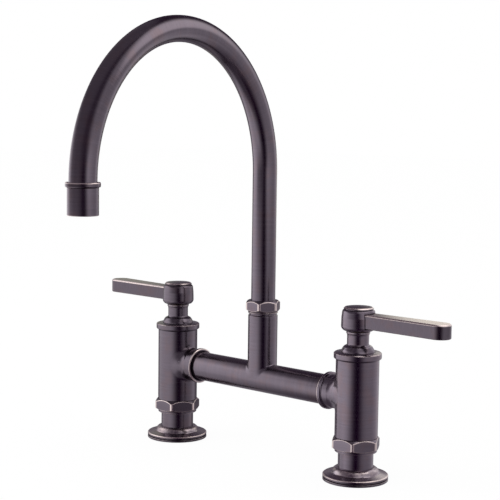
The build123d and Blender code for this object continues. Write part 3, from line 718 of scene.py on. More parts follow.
# ---------------------------------------------------------------- nuts
@dataclass(frozen=True)
class HexNut:
    """A hexagon nut with flattened corners and turned chamfers on both ends.

    Args:
        corner_r: The radius over its corners.
        bottom: The height of the hexagon's underside.
        top: The height of its top.
        bore: The steps down its bore, as radius and height, from its top to its foot.
        corner_flat: How much each corner is cut back along both of its sides.
        top_edge: The chamfer at its top, along the radius and down.
        bottom_edge: The chamfer at its bottom, along the radius and up.
        foot: The radius and foot height of a round foot below the hexagon, or none.
        shine: The wear on its creases.
    """

    corner_r: float
    bottom: float
    top: float
    bore: tuple[tuple[float, float], ...]
    corner_flat: float
    top_edge: tuple[float, float]
    bottom_edge: tuple[float, float]
    foot: tuple[float, float] | None = None
    shine: float = 1.0

    @property
    def creases(self) -> tuple[float, float]:
        """The heights of the lower and the upper crease at the hexagon's corners."""
        return self.bottom + self.bottom_edge[1], self.top - self.top_edge[1]

    def plan(self) -> Section:
        """The rounded outline of the hexagon, divided along its sides.

        Returns:
            The outline; its wear is the nut's shine on the corner flats.
        """
        corners = [self.corner_r * np.exp(1j * math.radians(60 * k)) for k in range(6)]
        outline = []
        for k, here in enumerate(corners):
            for other in (corners[k - 1], corners[(k + 1) % 6]):
                cut = here + self.corner_flat * (other - here) / abs(other - here)
                outline.append(Corner(cut.real, cut.imag, CORNER_ROUND * self.corner_flat, self.shine))
        path = rounded(outline, step=0.6)
        angle = np.degrees(np.angle(path.points)) % 60
        near = np.minimum(angle, 60 - angle) < math.degrees(self.corner_flat / self.corner_r)
        return replace(path, wear=np.where(near, self.shine, path.wear))

    def section(self) -> Section:
        """The nut's section at a corner of the hexagon.

        Returns:
            The closed section. Its corner 0 is the lower crease, 1 the upper one, 2 the inner edge of the
            chamfer above, and the last one the inner edge of the chamfer below.
        """
        low, high = self.creases
        corners = [
            Corner(self.corner_r, low, 0.5, 0.45 * self.shine),
            Corner(self.corner_r, high, 0.6, 0.6 * self.shine),
            Corner(self.corner_r - self.top_edge[0], self.top, 0.25),
        ]
        corners += [Corner(radius, height, 0.1) for radius, height in self.bore]
        if self.foot:
            radius, foot_z = self.foot
            corners += [Corner(radius, foot_z, 0.4, 0.4), Corner(radius, self.bottom, 0.05)]
        corners.append(Corner(self.corner_r - self.bottom_edge[0], self.bottom, 0.2, 0.3))
        return rounded(corners, step=2.0)

    def sheet(self) -> Sheet:
        """Builds the nut: each column is one turned section whose two outer creases follow the outline.

        Returns:
            The closed sheet. At an angle t the creases lie at the outline's radius R(t), and their heights
            are those of the chamfers' cones at that radius.
        """
        section, plan = self.section(), self.plan()
        sheet = turned(section, angles=np.unwrap(np.angle(plan.points)))
        shift = np.abs(plan.points) - self.corner_r
        follows, slope = self.following(section)
        side = self.sideness(section)
        radial = np.stack((np.cos(np.angle(plan.points)), np.sin(np.angle(plan.points))), axis=-1)
        outward = np.stack((plan.normals.real, plan.normals.imag), axis=-1)
        points = sheet.points.copy()
        points[..., :2] += follows[:, None, None] * shift[None, :, None] * radial[None]
        points[..., 2] += slope[:, None] * shift[None, :]
        reach = np.hypot(points[..., 0], points[..., 1])
        points[..., :2] *= (self.unfolded(np.minimum(reach, np.abs(plan.points)), section) / reach)[..., None]
        lowest = np.where(follows, self.bottom, -np.inf)[:, None]
        points[..., 2] = np.clip(points[..., 2], lowest, self.top)
        points[:, -1] = points[:, 0]
        level = (1 - side)[:, None, None] * radial[None] + side[:, None, None] * outward[None]
        level /= np.linalg.norm(level, axis=-1, keepdims=True)
        level *= section.normals.real[:, None, None]
        normals = np.concatenate((level, sheet.normals[..., 2:]), axis=-1)
        wear = np.maximum(section.wear[:, None], (side > 0.5)[:, None] * plan.wear[None, :])
        return replace(sheet, points=points, normals=normals, wear=wear)

    def following(self, section: Section) -> tuple[np.ndarray, np.ndarray]:
        """How the section's rows follow the hexagon's outline.

        Args:
            section: The nut's section.

        Returns:
            Whether each row moves in and out with the outline, and how far it rises for each millimetre that
            it moves out: the creases run along their cones, and the rows between them share the difference.
        """
        low, high = self.creases
        rise_low, rise_high = (down / across for across, down in (self.bottom_edge, self.top_edge))
        at_low, at_high = section.corner == 0, section.corner == 1
        between = (section.corner == -1) & (np.abs(section.points.real - self.corner_r) < 1e-6)
        share = (section.points.imag - low) / (high - low)
        slopes = (rise_low, -rise_high, rise_low - share * (rise_low + rise_high))
        return at_low | at_high | between, np.select((at_low, at_high, between), slopes, 0.0)

    def unfolded(self, radius: np.ndarray, section: Section) -> np.ndarray:
        """Keeps the chamfers' rows from passing one another where the outline is nearest to the axis.

        Args:
            radius: The points' distances from the axis.
            section: The nut's section.

        Returns:
            The distances, which no longer grow from a crease to the inner edge of its chamfer.
        """
        upper = slice(np.flatnonzero(section.corner == 1)[0], np.flatnonzero(section.corner == 2)[-1] + 1)
        lower = slice(np.flatnonzero(section.corner == section.corner.max())[0], None)
        kept = radius.copy()
        kept[upper] = np.minimum.accumulate(radius[upper], axis=0)
        kept[lower] = np.minimum.accumulate(radius[lower][::-1], axis=0)[::-1]
        return kept

    def sideness(self, section: Section) -> np.ndarray:
        """How far each row belongs to the hexagon's flat sides.

        Args:
            section: The nut's section.

        Returns:
            A share for each row, from 0 on the chamfers' cones to 1 on the sides.
        """
        on_crease = (section.corner <= 1) & (section.points.real > self.corner_r - 1.0)
        steepest = max(across / down for across, down in (self.top_edge, self.bottom_edge))
        cone = math.cos(math.atan(steepest))
        return np.where(on_crease, np.clip((section.normals.real - cone) / (1 - cone), 0, 1), 0.0)


# ---------------------------------------------------------------- the legs
@dataclass(frozen=True)
class Leg:
    """One leg: flange, shank with its deck hardware, coupling nut, valve body and bonnet.

    Radii are from each piece's own axis, heights from the deck, and the boss's places from the leg's axis.
    """

    side: Side
    flange_r: float = 26.3
    flange_groove_r: float = 24.9
    flange_dome_r: float = 19.3
    flange_rim_top: float = 4.7
    flange_top: float = 10.4
    # painted light: the flanges' film is painted lighter than the rest of the leg
    flange_painted_light: float = 1.30
    gasket_r: float = 21.55
    gasket_top: float = 1.6
    water_bore_r: float = 7.0
    thread_r: float = 10.45
    thread_pitch: float = 1.814
    thread_depth: float = 1.0
    thread_fade: float = 0.8
    shank_foot: float = -54.6
    relief_low: float = -42.6
    relief_high: float = -41.0
    relief_depth: float = 0.9
    washer_r: float = 17.5
    washer_height: float = 2.0
    deck_nut_r: float = 16.0
    deck_nut_height: float = 9.0
    neck_r: float = 14.2
    neck_foot: float = 3.8
    collar_r: float = 15.5
    collar_foot: float = 26.45
    collar_top: float = 29.45
    nut_r: float = 20.6
    nut_bottom: float = 23.2
    nut_top: float = 34.8
    nut_foot_r: float = 17.0
    nut_foot_height: float = 1.9
    nut_lip: float = 3.2
    body_r: float = 17.3
    body_spigot_r: float = 15.9
    body_foot: float = 30.85
    body_top: float = 103.6
    rim_r: float = 19.1
    port_r: float = 6.0
    seat_z: float = 45.8
    cartridge_bore_r: float = 12.4
    boss_ring_r: float = 15.2
    boss_ring_foot: float = 26.8
    boss_face: float = 29.9
    boss_neck_r: float = 13.7
    boss_neck_start: float = 21.3
    boss_socket_r: float = 12.35
    boss_socket_end: float = 19.2
    boss_swell_r: float = 15.1
    boss_swell_start: float = 9.0
    boss_swell_end: float = 15.0
    boss_swell_fall: float = 0.034
    flare_r: float = 15.6
    flare_start: float = 12.3
    flare_arc: float = 9.0
    root_fillet: float = 3.4
    bonnet_bore_r: float = 5.08
    bonnet_foot: float = 84.6
    bonnet_foot_r: float = 13.3
    bonnet_neck_r: float = 8.75
    bonnet_lip_r: float = 9.5
    bonnet_top: float = 119.9

    def put(self, sheet: Sheet) -> Sheet:
        """Moves a sheet from the leg's own axis to its place, mirrored for the left leg."""
        return sheet.moved(x=LEG_X).placed(mirror_x(self.side))

    def flange(self) -> list[Sheet]:
        """The foot: rim with a groove round it, sloping face, dome and bore; dome and face are rubbed.

        Returns:
            Its one sheet. The wear of the dome and of the face are bell curves over the radius.
        """
        rim, groove, dome = self.flange_r, self.flange_groove_r, self.flange_dome_r
        rim_top, top = self.flange_rim_top, self.flange_top
        seat, hole = self.neck_r + PART_GAP, self.thread_r + SLIDE_GAP
        sheet = turned(rounded([
            Corner(self.gasket_r, 0, 0.1), Corner(rim, 0, 0.3), Corner(rim, 1.7, 0.3, 0.35),
            Corner(groove, 2.05, 0.1), Corner(groove, 2.45, 0.1), Corner(rim, 2.8, 0.3),
            Corner(rim, rim_top - 0.4, 0.3, 1.0), Corner(rim - 0.5, rim_top, 0.3, 0.8),
            Corner(dome + 0.5, 6.2, 0.5), Corner(dome, 6.7, 0.3, 0.35),
            Corner(15.8, top - 0.1, 0.4, 0.2, -6.5), Corner(14.8, top, 0.15), Corner(seat, top, 0.05),
            Corner(seat, self.neck_foot, 0.05), Corner(hole, self.neck_foot, 0.05),
            Corner(hole, self.gasket_top, 0.05), Corner(self.gasket_r, self.gasket_top, 0.05),
        ]), 160)
        rub = 0.28 + 0.14 * bell(sheet.radius, 17.6, 1.3) + 0.06 * bell(sheet.radius, 22.5, 2.0)
        above = sheet.points[..., 2] > rim_top - 0.2
        return [replace(sheet, wear=np.maximum(sheet.wear, above * rub))]

    def threaded(self, height: np.ndarray, low: float, high: float) -> np.ndarray:
        """How deep the thread is cut, from 0 to 1: it runs out at both ends of a stretch."""
        fade = self.thread_fade
        return np.clip((height - low) / fade, 0, 1) * np.clip((high - height) / fade, 0, 1)

    def shank(self) -> list[Sheet]:
        """The tailpiece: a turned section whose radius is lowered along a helix below the deck.

        Returns:
            Its one sheet. The thread is a rounded cosine of the turns up to a height, less the angle.
        """
        foot, low, high = self.shank_foot, self.relief_low, self.relief_high
        bore, crest, relief = self.water_bore_r, self.thread_r, self.thread_r - self.relief_depth
        section = rounded([
            Corner(bore, foot, 0.1), Corner(crest - 0.6, foot, 0.1), Corner(crest, foot + 0.6, 0.1),
            Corner(crest, low, 0.1), Corner(relief, low, 0.1), Corner(relief, high, 0.1),
            Corner(crest, high, 0.1), Corner(crest, self.neck_foot, 0.1),
            Corner(self.neck_r, self.neck_foot, 0.1), Corner(self.neck_r, self.collar_foot, 0.1),
            Corner(self.collar_r, self.collar_foot, 0.1),
            Corner(self.collar_r, self.collar_top, 0.1), Corner(bore, self.collar_top, 0.1),
        ], step=0.25)
        sheet = turned(section, 72)
        angle, height = np.arctan2(sheet.points[..., 1], sheet.points[..., 0]), sheet.points[..., 2]
        wave = 0.5 - 0.5 * np.cos(2 * np.pi * (height / self.thread_pitch) - angle)
        on_thread = np.abs(sheet.radius - crest) < 0.02
        tail, main = self.threaded(height, foot + 0.4, low - 0.2), self.threaded(height, high + 0.2, -1.0)
        cut = np.maximum(tail, main)
        return [sheet.with_radius(sheet.radius - self.thread_depth * on_thread * cut * wave**0.8)]

    def deck_washer(self) -> list[Sheet]:
        """The steel washer under the deck."""
        low, hole = DECK_LOW - self.washer_height, self.thread_r + SLIDE_GAP
        return [turned(rounded([
            Corner(hole, low, 0.1), Corner(self.washer_r, low, 0.4), Corner(self.washer_r, DECK_LOW, 0.4),
            Corner(hole, DECK_LOW, 0.1),
        ]), 96)]

    def deck_nut(self) -> list[Sheet]:
        """The lock nut under the washer.

        Returns:
            Its one sheet.
        """
        top, hole = DECK_LOW - self.washer_height, self.thread_r + PART_GAP
        low = top - self.deck_nut_height
        chamfer = (1.6, 0.9)
        nut = HexNut(self.deck_nut_r, low, top, ((hole, top), (hole, low)), 0.4, chamfer, chamfer, shine=0.2)
        return [nut.sheet()]

    def coupling_nut(self) -> list[Sheet]:
        """The union nut on its round foot, with bright corners.

        Returns:
            Its one sheet.
        """
        low, top, seat = self.nut_bottom, self.nut_top, self.neck_r + PART_GAP
        socket, lip = self.body_spigot_r + PART_GAP, low + self.nut_lip
        bore = ((socket, top), (socket, lip), (seat, lip), (seat, low))
        nut = HexNut(self.nut_r, low + self.nut_foot_height, top, bore, 0.75, (2.9, 2.5), (3.4, 1.9),
                     foot=(self.nut_foot_r, low))
        return [nut.sheet()]

    def valve_body(self) -> list[Sheet]:
        """The barrel with its rim, the side boss and the fillet between them.

        Returns:
            The barrel, the boss, its fillet and its root.
        """
        body, rim, top = self.body_r, self.rim_r, self.body_top
        barrel = turned(rounded([
            Corner(self.port_r, self.body_foot, 0.1), Corner(self.body_spigot_r, self.body_foot, 0.1),
            Corner(self.body_spigot_r, self.nut_top, 0.05), Corner(body, self.nut_top, 0.5, 0.3),
            Corner(body, top - 6.2, 0.3), Corner(rim - 0.3, top - 5.2, 0.2), Corner(rim, top - 4.7, 0.25),
            Corner(rim, top - 1.1, 0.35, 0.4), Corner(rim - 0.7, top - 0.5, 0.35, 0.45),
            Corner(14.3, top, 0.3), Corner(self.cartridge_bore_r, top, 0.1),
            Corner(self.cartridge_bore_r, self.seat_z, 0.1), Corner(self.port_r, self.seat_z, 0.1),
        ]), 160)
        ring, neck, socket = self.boss_ring_r, self.boss_neck_r, self.boss_socket_r
        foot, face = self.boss_ring_foot, self.boss_face
        boss = turned(rounded([
            Corner(self.port_r, self.boss_neck_start, 0.1), Corner(neck, self.boss_neck_start, 0.02),
            Corner(neck, foot - 1.1, 0.2), Corner(neck + 1.0, foot - 0.5, 0.2), Corner(ring, foot, 0.3, 0.2),
            Corner(ring, foot + 2.5, 0.35, 0.9), Corner(ring - 0.6, face, 0.35, 1.0), Corner(13.4, face, 0.2),
            Corner(socket, face - 0.9, 0.1), Corner(socket, self.boss_socket_end, 0.1),
            Corner(self.port_r, self.boss_socket_end, 0.1),
        ], step=1.0), 120)
        return [barrel, boss.placed(POINT_INWARDS, (0, 0, BRIDGE_Z)), *self.boss_root()]

    def boss_radius(self, d: np.ndarray) -> np.ndarray:
        """The radius of the boss at a distance from the leg's axis.

        Args:
            d: The distances.

        Returns:
            The radii: even, then falling with the square of the distance, then the flare's hollow arc, then
            the straight neck.
        """
        neck = complex(self.boss_neck_r, self.boss_neck_start)
        flare = complex(self.flare_r, self.flare_start)
        chord = neck - flare
        inwards = 1j * chord / abs(chord)
        centre = flare + chord / 2 - inwards * math.sqrt(self.flare_arc**2 - abs(chord) ** 2 / 4)
        hollow = centre.real - np.sqrt(np.maximum(self.flare_arc**2 - (d - centre.imag) ** 2, 0.0))
        swell = self.boss_swell_r - self.boss_swell_fall * np.clip(d - self.boss_swell_start, 0.0, None) ** 2
        stretches = (d < self.boss_swell_end, d < self.boss_neck_start)
        return np.select(stretches, (swell, hollow), self.boss_neck_r)

    def boss_root(self) -> list[Sheet]:
        """The boss's flared root, whose radius is r(d) at a distance d from the leg's axis, and its fillet.

        At an angle a round the boss it meets the barrel where hypot(d, r(d) sin a) is the barrel's radius.
        The fillet ends one size further along the boss, and one size further round and up the unrolled
        barrel; the root goes on from there to the boss's straight neck.

        Returns:
            The fillet and the root.
        """
        a = once_round()
        step, size, end = 0.01, self.root_fillet, self.boss_neck_start

        def on_boss(d: np.ndarray) -> tuple[np.ndarray, np.ndarray]:
            """Finds the boss's points at the distances d.

            Args:
                d: The distances, one for each angle.

            Returns:
                The points and the outward directions there.
            """
            r = self.boss_radius(d)
            slope = (self.boss_radius(d + step) - self.boss_radius(d - step)) / (2 * step)
            point = np.stack((-d, r * np.sin(a), r * np.cos(a)), axis=-1)
            outward = np.stack((slope, np.sin(a) + 0 * d, np.cos(a) + 0 * d), axis=-1)
            return point, outward / np.linalg.norm(outward, axis=-1, keepdims=True)

        d = np.linspace(0.1, end, 1600)
        gap = np.hypot(d[:, None], self.boss_radius(d)[:, None] * np.sin(a)) - self.body_r
        at_d = d[np.argmax(gap > 0, axis=0)]
        meet, _ = on_boss(at_d)
        boss_end, boss_normal = on_boss(at_d + size)
        unrolled = self.body_r * np.arctan2(meet[:, 1], -meet[:, 0]) + 1j * meet[:, 2]
        away = np.gradient(np.concatenate((unrolled[-2:-1], unrolled, unrolled[1:2])))[1:-1]
        unrolled = unrolled + size * 1j * away / np.abs(away)
        turn = unrolled.real / self.body_r
        barrel_normal = np.stack((-np.cos(turn), np.sin(turn), 0 * turn), axis=-1)
        barrel_end = self.body_r * barrel_normal + np.stack((0 * turn, 0 * turn, unrolled.imag), axis=-1)
        fillet = bridged(barrel_end, meet, boss_end, barrel_normal, boss_normal)
        share = np.linspace(0, 1, 16)[:, None]
        points, normals = on_boss((1 - share) * (at_d + size) + share * (end + 0.02))
        grain = np.stack((points[..., 1], points[..., 2], points[..., 0]), axis=-1)
        round_boss = np.linspace(0, 2 * np.pi, len(a))
        uv = np.stack((self.boss_neck_r * round_boss + 0 * share, 10 * share + 0 * a), axis=-1)
        root = Sheet(points, normals, np.zeros(points.shape[:2]), grain, uv)
        return [fillet.moved(z=BRIDGE_Z), root.moved(z=BRIDGE_Z)]

    def bonnet(self) -> list[Sheet]:
        """The packing nut: flared foot, waisted neck and lip.

        Returns:
            Its one sheet.
        """
        low, top, spigot = self.body_top, self.bonnet_top, self.cartridge_bore_r - PART_GAP
        foot, neck, lip = self.bonnet_foot_r, self.bonnet_neck_r, self.bonnet_lip_r
        return [turned(rounded([
            Corner(self.bonnet_bore_r, self.bonnet_foot, 0.1), Corner(spigot, self.bonnet_foot, 0.1),
            Corner(spigot, low, 0.05), Corner(foot, low, 0.1), Corner(foot, low + 0.5, 0.2, 0.3),
            Corner(foot - 1.2, low + 3.1, 0.4, 0, -6.0), Corner(neck + 1.45, low + 4.9, 0.2, 0, -3.2),
            Corner(neck, low + 6.2, 0.2, 0.15, 2.2), Corner(neck, top - 3.6, 0.3),
            Corner(lip, top - 1.3, 0.2, 0.3, 4.2), Corner(lip, top, 0.25, 0.3),
            Corner(self.bonnet_bore_r, top, 0.1),
        ]), 96)]

    def build(self, dresser: Dresser) -> None:
        """Builds and dresses every piece of the leg.

        Args:
            dresser: What finishes them and hangs them on the faucet's body.
        """
        makers: dict[str, tuple[Callable[[], list[Sheet]], str]] = {
            "base_flange": (self.flange, "dark_bronze"),
            "shank": (self.shank, "dark_bronze"),
            "deck_washer": (self.deck_washer, "steel"),
            "deck_nut": (self.deck_nut, "steel"),
            "coupling_nut": (self.coupling_nut, "dark_bronze"),
            "valve_body": (self.valve_body, "dark_bronze"),
            "bonnet": (self.bonnet, "dark_bronze"),
        }
        for name, (maker, metal) in makers.items():
            sheets = [self.put(sheet) for sheet in maker()]
            # painted light and shade: the side's painted level, painted lighter still on the flange
            tone = self.side.tone * (self.flange_painted_light if name == "base_flange" else 1.0)
            dresser.add(f"{self.side.value}_{name}", "faucet_body", sheets, metal, tone)


# ---------------------------------------------------------------- the handles
@dataclass(frozen=True)
class Handle:
    """One handle: hub, lever and cap, about the leg's axis, with the lever along +X before it is turned."""

    side: Side
    hub_r: float = 13.75
    hub_top_r: float = 12.3
    hub_bottom: float = 120.4
    hub_top: float = 137.6
    recess_r: float = 5.4
    lever_reach: float = 85.8
    lever_bottom: float = 123.4
    lever_top: float = 134.9
    root_half: float = 6.75
    tip_half: float = 8.7
    root_depth: float = 4.6
    rebate: float = 0.45
    rebate_depth: float = 1.5
    rebate_edge: float = 0.12
    edge_width: float = 1.6
    cap_r: float = 12.0
    cap_groove_r: float = 11.2
    cap_dome: float = 133.4
    # painted shade: the levers' and caps' film is painted darker than the hub's
    lever_painted_shade: float = 0.70
    cap_painted_shade: float = 0.80

    def put(self, sheet: Sheet) -> Sheet:
        """Turns a sheet to where the handle rests, and moves it to its leg."""
        return sheet.placed(turn_about_z(self.side.rest_turn), (LEG_X, 0, 0)).placed(mirror_x(self.side))

    def hub(self) -> list[Sheet]:
        """The hub: a turned section pressed in by the rebate's depth round the lever's pocket.

        Returns:
            Its one sheet, with more columns where the sides of the pocket are.
        """
        wide, low, top = self.hub_r, self.hub_bottom, self.hub_top
        section = rounded([
            Corner(self.recess_r, low, 0.1), Corner(wide - 3.6, low, 0.3),
            Corner(wide, low + 3.6, 0.6, 0, -4.0), Corner(wide - 0.15, top - 6.5, 2.0),
            Corner(wide - 0.6, top - 2.6, 1.0),
            Corner(self.hub_top_r, top - 0.5, 0.3, 0.2, -3.0), Corner(self.hub_top_r - 0.8, top, 0.3, 0.3),
            Corner(self.recess_r, top, 0.1),
        ], step=0.25)
        edge, near = math.asin((self.root_half + self.rebate) / wide), 0.05
        half = np.concatenate((
            np.linspace(0, edge - near, 12)[:-1], np.linspace(edge - near, edge + near, 13)[:-1],
            np.linspace(edge + near, np.pi, 50),
        ))
        sheet = turned(section, angles=np.concatenate((half[:-1], (2 * np.pi - half)[::-1])))
        x, y, z = np.moveaxis(sheet.points, -1, 0)
        sides = smooth_step((self.root_half + self.rebate - np.abs(y)) / self.rebate_edge) * (x > 0)
        below = smooth_step((z - self.lever_bottom + self.rebate) / self.rebate_edge)
        above = smooth_step((self.lever_top + self.rebate - z) / self.rebate_edge)
        pressed = self.rebate_depth * sides * below * above * (sheet.radius > wide - 2.5)
        return [sheet.with_radius(sheet.radius - pressed)]

    def lever_plan(self) -> Section:
        """The lever's outline seen from above.

        Returns:
            The outline: a straight root with rounded corners, sides that widen, and a half round end.
        """
        start, centre = self.hub_r - self.root_depth, self.lever_reach - self.tip_half
        spokes = self.tip_half * np.exp(1j * np.radians(np.linspace(-90, 90, 33)))
        return rounded([
            Corner(start, -self.root_half, 1.7), Corner(self.hub_r, -self.root_half, 2.0),
            *(Corner(centre + spoke.real, spoke.imag, 0.2) for spoke in spokes),
            Corner(self.hub_r, self.root_half, 2.0), Corner(start, self.root_half, 1.7),
        ], step=1.5)

    def lever(self) -> list[Sheet]:
        """The lever: its outline carried in by a rounded edge, above and below, to its middle line.

        Returns:
            Its one sheet. Round the end the outline is carried in along the spokes, elsewhere squarely.
        """
        low, top, inmost = self.lever_bottom, self.lever_top, -4.0
        start, centre = self.hub_r - self.root_depth, self.lever_reach - self.tip_half
        plan = self.lever_plan()
        from_centre = plan.points - centre
        normal = np.where(from_centre.real > 0, from_centre / np.abs(from_centre), plan.normals)
        edge = rounded([
            Corner(inmost, low, 0.0), Corner(-0.45, low, 0.5), Corner(0.0, low + 0.45, 0.5, 0.3),
            Corner(0.0, top - 0.9, 0.7, 0.6), Corner(-0.9, top, 0.7, 0.8), Corner(inmost, top, 0.0),
        ], step=1.2)
        first = int(np.argmin(np.abs(edge.points - complex(inmost, low))))
        rows = first + np.flatnonzero(edge.points.real[first:] > -self.edge_width)
        offset, height, level = edge.points.real[rows], edge.points.imag[rows], edge.normals[rows]
        middle = np.clip(plan.points.real, start + 6.0, centre)[None, :] + 0j
        xy = np.concatenate((middle, plan.points[None, :] + offset[:, None] * normal[None, :], middle))
        z = np.concatenate(([low], height, [top]))[:, None] + 0 * xy.real
        level = np.concatenate(([-1j], level, [1j]))
        wear = np.concatenate(([0.0], edge.wear[rows], [0.0]))
        points = np.stack((xy.real, xy.imag, z), axis=-1)
        outward = level.real[:, None] * normal[None, :]
        normals = np.stack((outward.real, outward.imag, level.imag[:, None] + 0 * outward.real), axis=-1)
        grain = np.stack((points[..., 1] * 4, points[..., 2] * 4, points[..., 0]), axis=-1)
        uv = np.stack((plan.run[None, :] + 0 * z, z + 0 * plan.run), axis=-1)
        along = smooth_step((xy.real - self.hub_r) / (centre - self.hub_r))
        palm = np.interp(along, (0, 1), self.side.palm) * (z > top - 0.1)
        return [Sheet(points, normals, np.maximum(wear[:, None], palm), grain, uv)]

    def cap(self) -> list[Sheet]:
        """The cap: stalk, narrow groove and slightly domed disc.

        Returns:
            Its one sheet, closed on the axis.
        """
        seat, stalk, groove, rim = self.hub_top, self.recess_r - PART_GAP, self.cap_groove_r, self.cap_r
        return [turned(rounded([
            Corner(0.0, seat - 1.6, 0.0), Corner(stalk, seat - 1.6, 0.1), Corner(stalk, seat, 0.05),
            Corner(groove, seat, 0.05), Corner(groove, seat + 0.55, 0.05), Corner(rim, seat + 0.55, 0.02),
            Corner(rim, seat + 0.65, 0.1, 0.2), Corner(rim - 1.05, seat + 1.75, 0.25, 1.0),
            Corner(0.0, seat + 2.2, 0.0, 0.0, -self.cap_dome),
        ], step=2.0), 96)]

    def build(self, dresser: Dresser) -> None:
        """Builds and dresses every piece of the handle.

        Args:
            dresser: What finishes them and hangs them on the handle's body.
        """
        makers = {"handle_hub": self.hub, "lever": self.lever, "index_cap": self.cap}
        # painted shade of the levers and caps, on top of the side's painted light level
        painted_shades = {"lever": self.lever_painted_shade, "index_cap": self.cap_painted_shade}
        for name, maker in makers.items():
            sheets = [self.put(sheet) for sheet in maker()]
            tone = self.side.tone * painted_shades.get(name, 1.0)
            dresser.add(f"{self.side.value}_{name}", self.side.handle_body, sheets, tone=tone)


# ---------------------------------------------------------------- the bridge and the spout
@dataclass(frozen=True)
class Bridge:
    """The bridge with its riser, and the nut on the riser. The riser's axis is Z."""

    tube_r: float = 12.3
    bore_r: float = 9.3
    half: float = 82.35
    sunk: float = 0.03
    fillet_side: float = 1.3
    fillet_front: float = 6.0
    riser_r: float = 12.4
    riser_sink: float = 3.0
    shoulder: float = 122.1
    ring_r: float = 12.6
    ring_bottom: float = 123.3
    ring_top: float = 124.5
    thread_r: float = 11.2
    riser_top: float = 128.9
    nut_r: float = 15.2
    nut_bottom: float = 125.2
    nut_top: float = 134.0
    nut_lip: float = 1.8
    nut_hole_r: float = 10.23
    nut_turn: float = -1.5

    def tee(self) -> list[Sheet]:
        """The tube along X, the riser that meets it, and the fillet between them.

        Returns:
            The three sheets. The riser's foot is sunk in the tube's wall.
        """
        tube_r, bore = self.tube_r, self.bore_r
        tube = turned(rounded([
            Corner(bore, -self.half, 0.2), Corner(tube_r, -self.half, 0.4), Corner(tube_r, self.half, 0.4),
            Corner(bore, self.half, 0.2),
        ], step=20.0), 120)
        foot, shoulder, low, high = BRIDGE_Z - self.riser_sink, self.shoulder, self.ring_bottom, self.ring_top
        ring, thread = self.ring_r, self.thread_r
        riser = turned(rounded([
            Corner(bore, foot, 0.0), Corner(11.4, foot, 0.0), Corner(tube_r, BRIDGE_Z + 0.2, 1.0),
            Corner(self.riser_r, BRIDGE_Z + 9.0, 4.0), Corner(self.riser_r, shoulder - 0.6, 0.3),
            Corner(11.8, shoulder, 0.3, 0.5), Corner(thread, shoulder, 0.1), Corner(thread, low, 0.1),
            Corner(ring - 0.3, low, 0.2), Corner(ring, low + 0.3, 0.2), Corner(ring, high - 0.3, 0.2, 0.6),
            Corner(ring - 0.3, high, 0.2, 0.4), Corner(thread, high, 0.1),
            Corner(thread, self.riser_top, 0.1), Corner(bore, self.riser_top, 0.1),
        ], step=8.0), 120)
        return [tube.placed(LAY_ALONG_X, (0, 0, BRIDGE_Z)), riser, self.tee_fillet()]

    def tee_fillet(self) -> Sheet:
        """The fillet round the riser's foot; at an angle a the two tubes meet at z = sqrt(R^2 - (R sin a)^2).

        It is narrow where they cross squarely, and wide where they run into each other, which fills the point
        of the crease. Its edge is sunk a little in the tube.

        Returns:
            The strip from the riser to the tube.
        """
        a = once_round()
        x, y = self.tube_r * np.cos(a), self.tube_r * np.sin(a)
        z = np.abs(x)
        reach = self.fillet_side + (self.fillet_front - self.fillet_side) * (1 - np.abs(np.cos(a)))
        meet = np.stack((x, y, z), axis=-1)
        on_riser = meet + np.stack((0 * a, 0 * a, reach), axis=-1)
        on_tube = meet + np.stack((np.sign(np.cos(a)) * reach, 0 * a, 0 * a), axis=-1)
        riser_normal = np.stack((np.cos(a), np.sin(a), 0 * a), axis=-1)
        tube_normal = np.stack((0 * a, y, z), axis=-1) / self.tube_r
        strip = bridged(on_riser, meet, on_tube - self.sunk * tube_normal, riser_normal, tube_normal)
        return strip.moved(z=BRIDGE_Z)

    def nut(self) -> list[Sheet]:
        """The spout nut, as it was left when it was tightened.

        Returns:
            Its one sheet.
        """
        low, top, thread = self.nut_bottom, self.nut_top, self.thread_r + PART_GAP
        lip = top - self.nut_lip
        bore = ((self.nut_hole_r, top), (self.nut_hole_r, lip), (thread, lip), (thread, low))
        nut = HexNut(self.nut_r, low, top, bore, 0.75, (2.4, 2.1), (2.4, 1.8))
        return [nut.sheet().placed(turn_about_z(self.nut_turn))]

    def build(self, dresser: Dresser) -> None:
        """Builds and dresses the tee and its nut."""
        dresser.add("bridge_tee", "faucet_body", self.tee())
        dresser.add("spout_nut", "faucet_body", self.nut())


